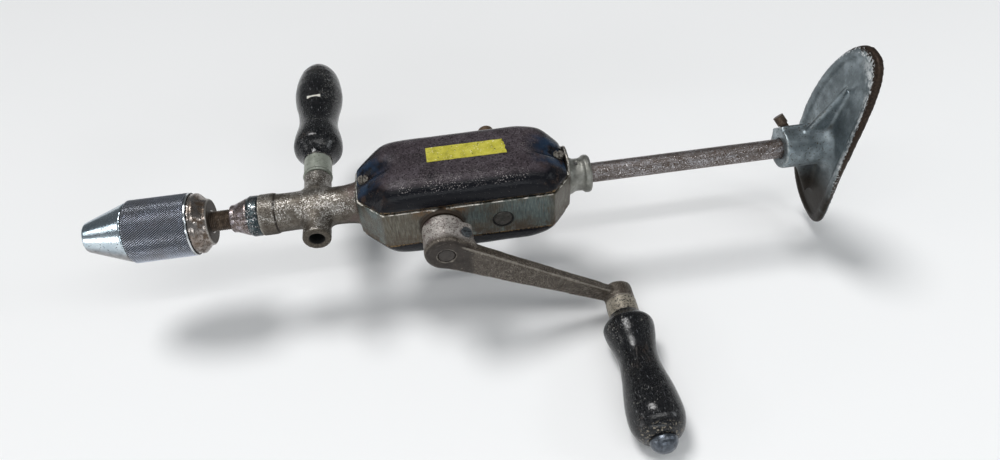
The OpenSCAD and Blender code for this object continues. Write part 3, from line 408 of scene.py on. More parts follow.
def casting_finish():
    """Bare grey casting: mottled and brown on the nose, with painted sparkle and shade, paler and brushed on
    the band.
    """
    f = Finish("worn_casting", metal=0.85)
    x, y, z = f.axes()
    blotch = f.noise(7, 7, 0.7)
    grain = f.noise(1.1, 4, 0.65)
    f.color = f.tones(blotch, (0.3, "463f38"), (0.5, "676159"), (0.7, "8c8882"))
    f.rough = f.mixed(grain, 0.26, 0.6, "FLOAT")
    lay_nose(f, x, blotch, grain)
    lay_socket(f, x, y, grain)
    band = f.both(f.ramp(x, CASE_X0 - 0.5, CASE_X0 + 0.5), f.ramp(x, CASE_X1 + 1, CASE_X1),
                  f.window(z, -BAND_HALF_H - 1, BAND_HALF_H + 1, 0.5))
    lay_band(f, band, x, z)
    lay_band_gaps(f, band, y)
    f.bump(grain, 0.3)
    f.bump(f.noise(0.45, 3, 0.6), 0.08)
    return f.done()


def cover_finish():
    """Old black paint: plum tones on top and bottom, blue-black on the sides with a painted blue sheen in the
    end flutes, worn along the shoulders.
    """
    f = Finish("black_paint", "101116", rough=0.2)
    x, y, z = f.axes()
    up = f.absolute(f.facing(2))
    plum_cloud = f.noise(11, 7, 0.65)
    fine = f.noise(1.3, 5, 0.65)
    # Paler plum tones on the faces that look up or down.
    top = f.both(f.ramp(up, 0.8, 0.97), f.ramp(plum_cloud, 0.25, 0.45))
    f.over(top, f.tones(plum_cloud, (0.3, "2e282b"), (0.5, "413a3e"), (0.7, "544d52")), 0.0, 0.36)
    f.over(f.both(top, f.flecks(1.2, 0.5, 0.1, 8)), "241e21", 0.0, 0.4)
    f.over(f.both(top, f.flecks(0.9, 0.59, 0.08, 11)), "625c62", 0.0, 0.4)
    ends = f.either(f.ramp(x, CASE_X0 + 26, CASE_X0 + 8), f.ramp(x, CASE_X1 - 26, CASE_X1 - 8))
    f.over(f.both(ends, f.ramp(f.noise(8, 6, 0.7, shift=3), 0.5, 0.66)), "33261f", 0.0, 0.36)
    # Painted reflection: a blue sheen in the flutes at the ends.
    flute = f.both(ends, f.window(y, -11, 9, 5), f.ramp(f.noise(9, 4, 0.6, shift=7), 0.36, 0.56))
    f.over(flute, "213043", 0.0, 0.16)
    middle_part = f.both(f.ramp(x, CASE_X0 + 18, CASE_X0 + 30), f.ramp(x, CASE_X1 - 14, CASE_X1 - 28))
    rubbed = f.ramp(f.noise(16, 4, 0.6, shift=3), 0.4, 0.6)
    shoulder = f.both(f.window(up, 0.66, 0.93, 0.12), middle_part, rubbed)
    f.over(f.both(shoulder, f.flecks(0.8, 0.58, shift=4)), "96908f", 0.4, 0.35)
    f.over(f.flecks(0.7, 0.68, shift=6), "77726f", 0.4, 0.4)
    f.over(f.both(f.edge_wear(0.35, 0.8), f.ramp(fine, 0.42, 0.56)), "7a6548", 0.5, 0.45)
    near_seam = f.ramp(f.absolute(z), BAND_HALF_H + 2.6, BAND_HALF_H + 0.6)
    seam = f.both(near_seam, f.window(x, CRANK_X - 14, CRANK_X + 16, 12))
    f.over(f.both(seam, f.ramp(f.noise(3, 6, 0.75, shift=9), 0.46, 0.58)), "5d4632", 0.2, 0.65)
    f.bump(f.noise(4, 4, 0.5), 0.3)
    f.bump(fine, 0.16)
    return f.done(specular=0.16)


def label_finish():
    """A blank yellow sticker, scratched and faded."""
    f = Finish("blank_label", rough=0.38)
    fade = f.noise(6, 6, 0.68)
    f.color = f.tones(fade, (0.3, "97902f"), (0.5, "bdb53d"), (0.72, "d2ca5c"))
    f.over(f.ramp(f.noise(2.2, 6, 0.8, stretch=(2.2, 0.5, 1), shift=4), 0.58, 0.66), "6d6828", 0.0, 0.5)
    f.over(f.flecks(1.1, 0.63, shift=2), "ece6b4", 0.0, 0.45)
    f.over(f.flecks(1.6, 0.64, shift=7), "3a3718", 0.0, 0.5)
    f.bump(fade, 0.08)
    return f.done()


def chuck_finish():
    """Plated steel: bright with dark pits on the nose and painted shade on its underside, rust patches on the
    tail and painted shade at its rear end.
    """
    f = Finish("chuck_steel", metal=1.0)
    x = f.axes()[0]
    f.color = f.tones(f.noise(9, 5, 0.55, stretch=(3, 1, 1)), (0.3, "9fb1bd"), (0.7, "d3dee4"))
    f.rough = f.mixed(f.noise(4, 5, 0.6, stretch=(4, 0.5, 0.5)), 0.1, 0.26, "FLOAT")
    f.over(f.flecks(1.3, 0.62, shift=3), "6f7c86", 0.9, 0.32)
    f.over(f.spots(1.3, 0.36, 2), "363d42", 0.6, 0.6)
    # Painted shade: darker grey on the nose's downward faces.
    under = f.both(f.ramp(x, SLEEVE_X0 + 2, SLEEVE_X0), f.ramp(f.facing(2), 0.3, -0.2))
    f.over(under, f.tones(f.noise(3, 5, 0.6, shift=4), (0.35, "6d6a69"), (0.65, "98989a")), 1.0, 0.3)
    tail = f.ramp(x, SLEEVE_X1 - 1, SLEEVE_X1)
    f.over(tail, f.tones(f.noise(9, 5, 0.6, shift=6), (0.3, "7d7168"), (0.7, "b5afab")), 1.0, 0.17)
    rust = f.both(tail, f.ramp(f.noise(5, 8, 0.75, shift=5), 0.46, 0.6))
    f.over(rust, f.tones(f.noise(2, 5, 0.7), (0.3, "40342a"), (0.7, "6f5f50")), 0.6, 0.42)
    f.over(f.both(tail, f.flecks(0.9, 0.6, shift=8)), "2e251d", 0.4, 0.6)
    # Painted shade: dark brown on the rear end.
    back = f.ramp(x, CHUCK_LEN - 1.0, CHUCK_LEN - 0.2)
    f.over(back, f.tones(f.noise(3, 5, 0.7), (0.3, "261f19"), (0.7, "4a3f34")), 0.4, 0.55)
    f.over(f.both(tail, f.edge_wear(0.35, 0.8)), "cfcbc5", 1.0, 0.25)
    f.bump(f.noise(0.7, 4, 0.6), 0.025)
    return f.done()


def knurl_finish():
    """Gunmetal knurling with bright points and roots painted dark as shade, a bright ring behind it and
    painted shade at the back edge.
    """
    f = Finish("knurled_steel", metal=1.0, rough=0.3)
    x = f.axes()[0]
    peak = f.attribute("peak")
    cloud = f.noise(14, 5, 0.6)
    # Painted shade: the roots between the knurl's points are near black.
    roots = f.tones(cloud, (0.35, "15161a"), (0.65, "171a23"))
    points = f.tones(cloud, (0.35, "c0c2ca"), (0.65, "cfd6e4"))
    f.color = f.mixed(f.ramp(peak, 0.12, 0.72), roots, points, "RGBA")
    f.over(f.ramp(f.noise(8, 6, 0.7, shift=4), 0.6, 0.76), "4d4a4a", 0.9, 0.4)
    ring_x = SLEEVE_X1 - SLEEVE_RING_W
    f.over(f.ramp(x, ring_x + 0.3, ring_x + 0.5), "cfd3d6", 1.0, 0.18)
    # Painted shade: dark on the sleeve's back edge.
    f.over(f.ramp(x, SLEEVE_X1 - 0.5, SLEEVE_X1 - 0.3), "1d1a18", 0.5, 0.6)
    f.bump(f.noise(0.6, 3, 0.6), 0.02)
    return f.done()


def rusty_finish():
    """Dark brown rust on bare steel."""
    f = Finish("rusty_steel", metal=0.55, rough=0.5)
    patch = f.noise(2.6, 7, 0.7)
    f.color = f.tones(patch, (0.3, "2d241c"), (0.5, "483b30"), (0.7, "6b5d4f"))
    f.over(f.flecks(0.9, 0.64, shift=3), "958c82", 0.85, 0.35)
    f.bump(patch, 0.12)
    return f.done()


def bearing_finish(name, low, middle, high):
    """Bearing steel with rust bloom and pale chips."""
    f = Finish(name, metal=0.8, rough=0.32)
    patch = f.noise(3.4, 7, 0.7, shift=2)
    f.color = f.tones(patch, (0.33, low), (0.5, middle), (0.66, high))
    f.over(f.flecks(1.0, 0.58, shift=5), "cdc9c9", 0.95, 0.25)
    f.over(f.flecks(1.2, 0.58, shift=9), "2d2522", 0.4, 0.6)
    f.bump(patch, 0.14)
    return f.done()


def chip_mask(f, place):
    """One bare chip on the upper side of a grip, a little wider at its ends."""
    half_len, half_w, flare = 4.9, 0.75, 0.6
    x, y, z = f.axes()
    along = f.absolute(f.maths("SUBTRACT", x, place[0]))
    across = f.absolute(f.maths("SUBTRACT", y, place[1]))
    reach = f.maths("ADD", f.maths("MULTIPLY", f.ramp(along, 1.8, 4.2), flare), half_w)
    inside = f.ramp(f.maths("SUBTRACT", reach, across), 0.0, 0.3)
    return f.both(inside, f.ramp(along, half_len, half_len - 0.5), f.ramp(z, 4.0, 6.0))


def wood_finish(name, chip=None, ring=None, bare_end=None):
    """Glossy black paint on turned wood, scuffed in streaks along the grain and chipped.

    A grip may have one larger chip at a place, a pale ring at a place along it, or an end worn bare.
    """
    f = Finish(name, "0b0c0f")
    y = f.axes()[1]
    f.rough = f.mixed(f.noise(5, 5, 0.6), 0.06, 0.2, "FLOAT")
    patchy = f.both(f.ramp(f.noise(13, 5, 0.65, shift=6), 0.46, 0.66),
                    f.ramp(f.noise(3.5, 4, 0.6, shift=8), 0.42, 0.6))
    scuffs = f.flecks(0.55, 0.52, 0.08, 3, (1, 2.0, 1))
    f.over(f.both(scuffs, patchy), "3e4041", 0.0, 0.35)
    clusters = f.ramp(f.noise(18, 4, 0.6, shift=10), 0.52, 0.66)
    f.over(f.both(clusters, f.flecks(0.9, 0.61, 0.04, 9, (1, 1.6, 1))), "9a9892", 0.0, 0.5)
    f.over(f.both(patchy, f.flecks(2.2, 0.64, 0.03, 5)), "78766f", 0.0, 0.5)
    f.over(f.flecks(0.9, 0.64, 0.05, 13, (0.7, 4, 0.7)), "6f7072", 0.0, 0.3)
    worn = f.both(f.ramp(f.noise(22, 4, 0.5, shift=2), 0.54, 0.68),
                  f.ramp(f.noise(2.0, 6, 0.75, stretch=(1, 3, 1)), 0.48, 0.62))
    f.over(worn, "2a221c", 0.0, 0.45)
    f.over(f.both(f.edge_wear(0.3, 0.7), f.flecks(1.2, 0.5, shift=5)), "8f8a80", 0.0, 0.5)
    if chip is not None:
        f.over(chip_mask(f, chip), "d9d5cc", 0.0, 0.5)
    if ring is not None:
        broken = f.ramp(f.noise(7, 4, 0.6, shift=4), 0.3, 0.44)
        f.over(f.both(f.window(y, ring - 0.35, ring + 0.35, 0.2), broken), "b5b0a4", 0.0, 0.5)
    if bare_end is not None:
        bare = f.both(f.ramp(y, bare_end + 6, bare_end + 1), f.flecks(1.5, 0.57, 0.05, 12))
        f.over(bare, "8a8172", 0.0, 0.6)
    f.bump(f.noise(1.8, 4, 0.6, stretch=(0.6, 5, 0.6)), 0.1)
    f.bump(scuffs, -0.08)
    return f.done(specular=0.38)


def tube_finish():
    """Pitted steel bar: speckled pale scale over brown rust, with painted shade underneath."""
    f = Finish("tube_steel", metal=0.8)
    patch = f.noise(4, 7, 0.7, stretch=(2, 1, 1))
    f.color = f.tones(patch, (0.32, "554b45"), (0.5, "76706e"), (0.68, "a3a1a4"))
    f.rough = f.mixed(f.noise(1.5, 4, 0.6, shift=2), 0.22, 0.55, "FLOAT")
    f.over(f.flecks(0.8, 0.53, shift=6), "4a3b31", 0.4, 0.55)
    f.over(f.flecks(0.9, 0.59, shift=3), "d0cccc", 0.95, 0.25)
    # Painted shade: browner and darker on the faces that look down.
    f.over(f.ramp(f.facing(2), -0.2, -0.85), "5e4836", 0.4, 0.55)
    f.bump(f.noise(0.9, 5, 0.7), 0.2)
    return f.done()


def crank_finish():
    """Iron crank: brown-grey pitted arm, pale pitted hub with a dark front face."""
    f = Finish("crank_iron", metal=0.4)
    x, y = f.axes()[:2]
    patch = f.noise(5, 7, 0.7)
    grain = f.noise(1.1, 5, 0.7)
    f.color = f.tones(patch, (0.3, "3a322b"), (0.5, "4f473e"), (0.7, "6b645b"))
    f.rough = f.mixed(grain, 0.3, 0.6, "FLOAT")
    f.over(f.flecks(1.0, 0.56, shift=2), "352c25", 0.4, 0.6)
    f.over(f.flecks(0.8, 0.57, 0.05, 14), "211a16", 0.2, 0.7)
    f.over(f.flecks(0.8, 0.6, 0.05, 17), "8d857a", 0.5, 0.4)
    hub = f.both(f.ramp(x, CRANK_X + 23, CRANK_X + 12), f.ramp(y, -HUB_FRONT + 3, -HUB_FRONT + 9))
    f.over(hub, f.tones(patch, (0.3, "948c87"), (0.7, "cac4be")), 0.45, 0.34)
    f.over(f.both(hub, f.flecks(1.0, 0.55, shift=7)), "4a3e39", 0.4, 0.5)
    f.over(f.both(hub, f.flecks(0.9, 0.56, shift=12)), "e0dcd6", 0.5, 0.25)
    f.over(f.both(hub, f.ramp(f.noise(9, 4, 0.6, shift=9), 0.52, 0.66)), "6a5a5a", 0.7, 0.42)
    face = f.both(f.ramp(x, CRANK_X + 17, CRANK_X + 13), f.ramp(y, -HUB_FRONT + 2.4, -HUB_FRONT + 0.8))
    f.over(face, f.tones(patch, (0.3, "251f1c"), (0.7, "3d3630")), 0.5, 0.5)
    f.over(f.flecks(1.1, 0.68, shift=4), "8f887f", 0.8, 0.35)
    f.over(f.both(f.edge_wear(0.3, 0.8), f.ramp(grain, 0.36, 0.5)), "9a9389", 0.85, 0.34)
    f.over(f.edge_wear(-0.3, -0.8), "2a221d", 0.2, 0.8)
    f.bump(grain, 0.32)
    return f.done()


def plate_finish():
    """Aluminium casting: cool grey-green, bright on the worn rim, with brown painted shade low down on the
    front.
    """
    f = Finish("plate_aluminium", metal=0.85)
    x, y, z = f.axes()
    cloud = f.noise(12, 6, 0.62)
    grain = f.noise(1.4, 5, 0.7)
    f.color = f.tones(cloud, (0.3, "586064"), (0.5, "757e82"), (0.7, "9ba5aa"))
    f.rough = f.mixed(cloud, 0.48, 0.28, "FLOAT")
    pits = f.ramp(x, PLATE_X0 + 40, PLATE_X0 + 18)
    f.over(f.both(pits, f.flecks(1.4, 0.59, shift=3)), "4a4740", 0.4, 0.55)
    f.over(f.flecks(1.8, 0.66, shift=6), "52524d", 0.4, 0.5)
    front = f.ramp(f.facing(0), 0.4, 0.0)
    # Painted shade: dark brown low down on the front.
    low = f.both(front, f.ramp(z, 0, -34), f.ramp(cloud, 0.12, 0.4))
    f.over(low, f.tones(grain, (0.3, "15110d"), (0.7, "2b251e")), 0.2, 0.55)
    rim = f.both(f.attribute("rim"), f.ramp(y, 6.0, -12.0), f.ramp(z, -12, 20))
    f.over(f.both(rim, f.ramp(f.noise(3.5, 7, 0.75, shift=4), 0.44, 0.56)), "d7dadb", 0.95, 0.3)
    worn = f.both(f.edge_wear(0.35, 0.8), f.ramp(grain, 0.4, 0.55), f.ramp(z, -30, 0))
    f.over(worn, "bfc4c4", 0.95, 0.3)
    back = f.ramp(f.facing(0), 0.5, 0.8)
    f.over(back, f.tones(f.noise(4, 7, 0.72, shift=2), (0.32, "70777b"), (0.68, "9ea4a7")), 0.8, 0.4)
    f.over(f.both(back, f.ramp(f.noise(14, 7, 0.72, shift=12), 0.52, 0.66)), "5a5348", 0.5, 0.5)
    f.over(f.both(back, f.flecks(1.0, 0.6, 0.06, 14)), "3f3a33", 0.4, 0.6)
    ragged = f.maths("ADD", f.attribute("outer"), f.noise(3, 6, 0.7, shift=8))
    f.over(f.ramp(ragged, 1.0, 1.16), f.tones(grain, (0.3, "1d1713"), (0.7, "42362e")), 0.4, 0.45)
    inside_edge = f.window(f.attribute("outer"), 0.25, 0.75, 0.2)
    chips = f.both(inside_edge, f.flecks(1.7, 0.53, 0.06, 10), f.ramp(z, -30, 10), front)
    f.over(chips, "c9cccd", 0.8, 0.3)
    f.over(f.edge_wear(-0.3, -0.8), "37342d", 0.3, 0.7)
    f.bump(grain, 0.16)
    f.bump(f.noise(0.6, 3, 0.6), 0.05)
    return f.done(specular=0.15)


def ferrule_finish():
    """Dull grey-green plated ferrule with a dark rolled lip."""
    f = Finish("ferrule_steel", metal=0.4, rough=0.42)
    y = f.axes()[1]
    f.color = f.tones(f.noise(3.4, 6, 0.68), (0.32, "848a7e"), (0.68, "a9ada2"))
    f.over(f.flecks(1.0, 0.62, shift=2), "4a4840", 0.5, 0.55)
    f.over(f.window(y, FERRULE_Y0 + 1.0, FERRULE_Y0 + 1.5, 0.3), "24221e", 0.4, 0.6)
    f.bump(f.noise(0.8, 4, 0.6), 0.06)
    return f.done()


def shaft_finish():
    """Dark ground steel, with rust on the end that stands out at the back."""
    f = Finish("low_shaft_steel", metal=0.6, rough=0.42)
    y = f.axes()[1]
    patch = f.noise(3, 6, 0.7)
    f.color = f.tones(patch, (0.3, "353330"), (0.7, "5b5854"))
    f.over(f.ramp(y, 0.0, 4.0), f.tones(patch, (0.3, "45362a"), (0.7, "7a6450")), 0.5, 0.5)
    f.over(f.flecks(0.9, 0.6, shift=2), "2a2420", 0.4, 0.6)
    f.bump(patch, 0.08)
    return f.done()


def plain_finish(name, low, high, metal, rough, pits=0.62):
    """Plain worked metal with a little mottle, pits and tool marks."""
    f = Finish(name, metal=metal)
    f.color = f.tones(f.noise(3.4, 6, 0.68), (0.32, low), (0.68, high))
    f.rough = f.mixed(f.noise(2, 4, 0.6, shift=3), rough - 0.1, rough + 0.12, "FLOAT")
    f.over(f.flecks(1.1, pits, shift=2), "2c2622", 0.4, 0.6)
    f.bump(f.noise(0.8, 4, 0.6), 0.07)
    return f.done()


# Shapes

def placed(name, data):
    """A new object in the scene."""
    made = bpy.data.objects.new(name, data)
    bpy.context.scene.collection.objects.link(made)
    return made


def bell(values, middle, reach):
    """1 at the middle, falling off smoothly over about twice the reach."""
    return np.exp(-((values - middle) / reach) ** 2)


def rise(values, start, end):
    """0 up to start and 1 from end on, whichever is the larger."""
    return np.clip((values - start) / (end - start), 0, 1)


def neighbours_mean(values, edges, count):
    """For each point, the mean of a value over its neighbours."""
    first, second = edges[:, 0], edges[:, 1]
    degree = np.bincount(edges.ravel(), minlength=count).astype(float)
    total = np.bincount(first, values[second], count) + np.bincount(second, values[first], count)
    return total / np.maximum(degree, 1)


def points_of(mesh):
    points = np.zeros(len(mesh.vertices) * 3)
    mesh.vertices.foreach_get("co", points)
    return points.reshape(-1, 3)


def edges_of(mesh):
    edges = np.zeros(len(mesh.edges) * 2, dtype=np.int64)
    mesh.edges.foreach_get("vertices", edges)
    return edges.reshape(-1, 2)


def normals_of(mesh):
    normals = np.zeros(len(mesh.vertices) * 3)
    mesh.vertex_normals.foreach_get("vector", normals)
    return normals.reshape(-1, 3)


def set_points(mesh, points):
    mesh.vertices.foreach_set("co", points.astype(np.float32).ravel())
    mesh.update()


def set_attribute(mesh, name, values):
    attribute = mesh.attributes.new(name, "FLOAT", "POINT")
    attribute.data.foreach_set("value", values.astype(np.float32))


def smoothed(points, edges, passes, share):
    """Rounds edges and fills corners by moving points towards their neighbours."""
    for _ in range(passes):
        for axis in range(3):
            mean = neighbours_mean(points[:, axis], edges, len(points))
            points[:, axis] += share * (mean - points[:, axis])
    return points


def wear_of(mesh, edges):
    """1 on sharp outer edges, 0 on flats, -1 in corners, spread over a few points."""
    points, normals = points_of(mesh), normals_of(mesh)
    bend = np.zeros(len(points))
    for axis in range(3):
        mean = neighbours_mean(points[:, axis], edges, len(points))
        bend += (points[:, axis] - mean) * normals[:, axis]
    step = np.linalg.norm(points[edges[:, 0]] - points[edges[:, 1]], axis=1).mean()
    bend = bend / step * WEAR_GAIN
    for _ in range(WEAR_SPREAD):
        bend = 0.5 * bend + 0.5 * neighbours_mean(bend, edges, len(points))
    return np.clip(bend, -1, 1)


def rippled(points, normals, size, depth):
    """Raises and lowers a surface gently, as a hand-finished casting is."""
    waves = np.array([noise.noise(Vector(p) / (size * MM)) for p in points])
    return points + normals * (waves * depth * MM)[:, None]


def solid_mesh(node):
    """A copy of a node's solid with its split corners joined again."""
    shape = bmesh.new()
    shape.from_mesh(frame["nodes"][node].data)
    bmesh.ops.remove_doubles(shape, verts=shape.verts, dist=JOIN_WITHIN * MM)
    mesh = bpy.data.meshes.new(node + "_solid")
    shape.to_mesh(mesh)
    shape.free()
    return mesh


def remeshed(node, voxel):
    """A node's solid as an even skin of small faces."""
    holder = placed(node + "_holder", solid_mesh(node))
    change = holder.modifiers.new("skin", "REMESH")
    change.mode = "VOXEL"
    change.voxel_size = voxel * MM
    depsgraph = bpy.context.evaluated_depsgraph_get()
    mesh = bpy.data.meshes.new_from_object(holder.evaluated_get(depsgraph))
    bpy.data.objects.remove(holder)
    return mesh


def face_outwards(mesh):
    """Turns the faces of a mesh so that all look outwards."""
    shape = bmesh.new()
    shape.from_mesh(mesh)
    bmesh.ops.recalc_face_normals(shape, faces=shape.faces)
    shape.to_mesh(mesh)
    shape.free()


def add_piece(name, mesh, body, material):
    """A new piece that rides on a body."""
    mesh.materials.clear()
    mesh.materials.append(material)
    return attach(placed(name, mesh), body)


def show_instead(node, name, mesh, material):
    """A new piece that is shown instead of a node and rides on its body."""
    piece = add_piece(name, mesh, BODY_OF[node], material)
    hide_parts(node)


def dressed(node, material, voxel, passes, ripple=None, share_at=None, marks=None):
    """A node's solid with rounded edges and a slightly uneven skin, shown in its place.

    ripple is the size and depth of the unevenness, share_at gives the smoothing at each point, and marks
    adds attributes that the material reads.
    """
    mesh = remeshed(node, voxel)
    edges = edges_of(mesh)
    points = points_of(mesh)
    share = share_at(points / MM) if share_at else EVEN_SHARE
    points = smoothed(points, edges, passes, share)
    set_points(mesh, points)
    if ripple:
        set_points(mesh, rippled(points, normals_of(mesh), *ripple))
    set_attribute(mesh, "wear", wear_of(mesh, edges))
    if marks:
        marks(mesh)
    mesh.shade_smooth()
    show_instead(node, node + "_skin", mesh, material)


def turned_points(profile, columns, axis, centre, radius_at):
    """Points of a turned form: rows of (place, radius) about a line along X or Y.

    radius_at, where it is given, tells a row's radius at each angle instead.
    """
    angles = np.arange(columns) * 2 * math.pi / columns
    rows = []
    for row, (place, radius) in enumerate(profile):
        radii = radius_at(row, angles) if radius_at else np.full(columns, radius)
        across, up = radii * np.sin(angles), radii * np.cos(angles)
        if axis == "x":
            rows.append(np.stack([np.full(columns, place), centre[1] + across, centre[2] + up], 1))
        else:
            rows.append(np.stack([centre[0] + across, np.full(columns, place), centre[2] + up], 1))
    return np.concatenate(rows) * MM


def turned_faces(rows, columns, closed, knurled):
    """Faces of a turned form. A knurled row is split along its grooves."""
    faces = []
    for row in range(rows if closed else rows - 1):
        after = (row + 1) % rows
        for column in range(columns):
            beside = (column + 1) % columns
            a, b = row * columns + column, row * columns + beside
            c, d = after * columns + beside, after * columns + column
            if row not in knurled:
                faces.append((a, b, c, d))
            elif (row + column) % 2:
                faces.extend([(a, b, d), (b, c, d)])
            else:
                faces.extend([(a, b, c), (a, c, d)])
    return faces


def turned_mesh(name, profile, columns, axis, centre, crisp, closed=False, radius_at=None, knurled=()):
    """A turned form, with edges sharper than crisp degrees left sharp."""
    mesh = bpy.data.meshes.new(name)
    points = turned_points(profile, columns, axis, centre, radius_at)
    mesh.from_pydata(points.tolist(), [], turned_faces(len(profile), columns, closed, knurled))
    face_outwards(mesh)
    mesh.shade_smooth()
    mesh.set_sharp_from_angle(angle=math.radians(crisp))
    return mesh


def twisted(points, inner_r, first, last, degrees):
    """Turns what lies outside a radius about X, more and more from first to last."""
    outside = np.hypot(points[:, 1], points[:, 2]) > inner_r * MM
    turn = outside * math.radians(degrees) * rise(points[:, 0] / MM, first, last)
    across, up = points[:, 1].copy(), points[:, 2].copy()
    points[:, 1] = across * np.cos(turn) - up * np.sin(turn)
    points[:, 2] = across * np.sin(turn) + up * np.cos(turn)
    return points


def knurled_sleeve(material):
    """The chuck's sleeve with real diamond knurling and a plain ring behind it."""
    bore, near_bore = SLEEVE_R - SLEEVE_WALL, 0.3
    ring_r = SLEEVE_R - RING_INSET
    first, last = SLEEVE_X0 + SLEEVE_EDGE, SLEEVE_X1 - SLEEVE_RING_W
    steps = 2 * int((last - first) / KNURL_PITCH)
    front = [(SLEEVE_X0, bore), (SLEEVE_X0, SLEEVE_R - SLEEVE_EDGE)]
    rows = [(first + (last - first) * i / steps, SLEEVE_R) for i in range(steps + 1)]
    back = [(last + RING_GROOVE_AT, SLEEVE_R - KNURL_DEPTH),
            (last + RING_START, ring_r),
            (SLEEVE_X1 - RING_CHAMFER, ring_r),
            (SLEEVE_X1, ring_r - RING_CHAMFER),
            (SLEEVE_X1, SLEEVE_BEARING_R),
            (SLEEVE_X1 - SLEEVE_BEARING_W, SLEEVE_BEARING_R),
            (SLEEVE_X1 - SLEEVE_BEARING_W, bore)]
    profile = front + rows + back
    columns = 2 * KNURL_STARTS
    knurl_rows = range(len(front), len(front) + len(rows))
    peak = np.zeros((len(profile), columns))
    for row in knurl_rows:
        peak[row] = (np.arange(columns) + row) % 2

    def radius_at(row, angles):
        radii = np.full(len(angles), profile[row][1])
        if row in knurl_rows:
            radii -= KNURL_DEPTH * (1 - peak[row])
        return radii

    mesh = turned_mesh("knurled_sleeve", profile, columns, "x", (0, 0, 0), crisp=25, closed=True,
                       radius_at=radius_at, knurled=knurl_rows[:-1])
    set_points(mesh, twisted(points_of(mesh), bore + near_bore, first, last, KNURL_TWIST))
    set_attribute(mesh, "peak", peak.ravel())
    show_instead("chuck_sleeve", "chuck_sleeve_knurled", mesh, material)


def threaded_spindle(material):
    """The spindle, with the fine thread that shows between chuck and bearing."""
    step = THREAD_PITCH / THREAD_STEPS
    first, last = CHUCK_LEN - THREAD_HIDDEN, CONE_X0 + THREAD_HIDDEN
    count = int((last - first) / step)
    rows = [(SPINDLE_X0, 0.0), (SPINDLE_X0, SPINDLE_R)]
    rows += [(first + i * step, SPINDLE_R) for i in range(count + 1)]
    rows += [(last + step, SPINDLE_R), (PINION_X0, SPINDLE_R), (PINION_X0, SPINDLE_END_R),
             (SPINDLE_X1, SPINDLE_END_R), (SPINDLE_X1, 0.0)]

    def radius_at(row, angles):
        place, radius = rows[row]
        if radius < SPINDLE_R or not first < place < last:
            return np.full(len(angles), radius)
        turn = (place / THREAD_PITCH - angles / (2 * math.pi)) % 1.0
        return radius - THREAD_DEPTH * (1 - np.abs(2 * turn - 1))

    mesh = turned_mesh("threaded_spindle", rows, SHAFT_COLUMNS, "x", (0, 0, 0), crisp=50, radius_at=radius_at)
    show_instead("spindle", "spindle_threaded", mesh, material)


def shaft_piece(node, rows, centre, material):
    """A cross shaft with its ends chamfered as they show."""
    mesh = turned_mesh(node + "_turned", rows, SHAFT_COLUMNS, "y", centre, crisp=30)
    show_instead(node, node + "_turned", mesh, material)


def crank_shaft_piece(material):
    """The crank's shaft: its near end stands a little back in the hub and is slightly hollow."""
    near_end = -HUB_FRONT + SHAFT_SET_BACK
    rows = [(near_end + SHAFT_HOLLOW, 0.0),
            (near_end, CRANK_SHAFT_R - SHAFT_CHAMFER),
            (near_end + SHAFT_CHAMFER, CRANK_SHAFT_R),
            (CRANK_SHAFT_END, CRANK_SHAFT_R),
            (CRANK_SHAFT_END, 0.0)]
    shaft_piece("crank_shaft", rows, (CRANK_X, 0, 0), material)


def low_shaft_piece(material):
    """The second shaft: a flush disc on the near side and a thinner stub behind the casing."""
    step = CASE_HALF_W + LOW_STEP_OUT
    rows = [(LOW_Y0, 0.0),
            (LOW_Y0, LOW_R - SHAFT_CHAMFER),
            (LOW_Y0 + SHAFT_CHAMFER, LOW_R),
            (step, LOW_R),
            (step, CRANK_SHAFT_R),
            (LOW_Y1 - SHAFT_CHAMFER, CRANK_SHAFT_R),
            (LOW_Y1, CRANK_SHAFT_R - SHAFT_CHAMFER),
            (LOW_Y1, 0.0)]
    shaft_piece("low_speed_shaft", rows, (LOW_X, 0, LOW_Z), material)


def label_grid(columns, rows):
    """Places over the label, from end to end and across, with one end torn and wavy long edges."""
    tear, tear_turns, slant = 1.6, 5, 1.2
    wave, wave_turns = 0.25, 9
    grid = []
    for i in range(columns + 1):
        for j in range(rows + 1):
            u, v = i / columns, j / rows
            x = LABEL_X0 + u * LABEL_LEN
            y = LABEL_MIDDLE_Y + (v - 0.5) * LABEL_W
            if i == columns:
                x += tear * noise.noise(Vector((v * tear_turns, 3.0, 1.0))) - slant * v
            if j in (0, rows):
                y += wave * noise.noise(Vector((u * wave_turns, j, 2.0)))
            grid.append((x, y))
    return grid


def label_piece(material):
    """A blank sticker on the top cover, with one torn end."""
    columns, rows = 48, 14
    grid = label_grid(columns, rows)
    top = [(x * MM, y * MM, (COVER_TOP + LABEL_T) * MM) for x, y in grid]
    low = [(x * MM, y * MM, (COVER_TOP - LABEL_T) * MM) for x, y in grid]
    width, count = rows + 1, len(grid)
    faces = []
    for i in range(columns):
        for j in range(rows):
            a = i * width + j
            faces.append((a, a + width, a + width + 1, a + 1))
            faces.append((count + a, count + a + 1, count + a + width + 1, count + a + width))
    rim = [i * width for i in range(columns + 1)] + [columns * width + j for j in range(1, width)]
    rim += [i * width + rows for i in range(columns - 1, -1, -1)] + list(range(rows - 1, 0, -1))
    for a, b in zip(rim, rim[1:] + rim[:1]):
        faces.append((a, count + a, count + b, b))
    mesh = bpy.data.meshes.new("blank_label")
    mesh.from_pydata(top + low, [], faces)
    face_outwards(mesh)
    add_piece("blank_label", mesh, BODY_OF["top_cover"], material)


def nose_share(points):
    """The casting rounds off where the sockets meet the nose, and its other edges stay crisp."""
    least, more = 0.018, 0.48
    socket_reach, fillet_y, fillet_reach = 14, 12, 7
    sockets = bell(points[:, 0], HANDLE_X, socket_reach)
    fillet = bell(np.abs(points[:, 1]), fillet_y, fillet_reach)
    return least + more * sockets * fillet


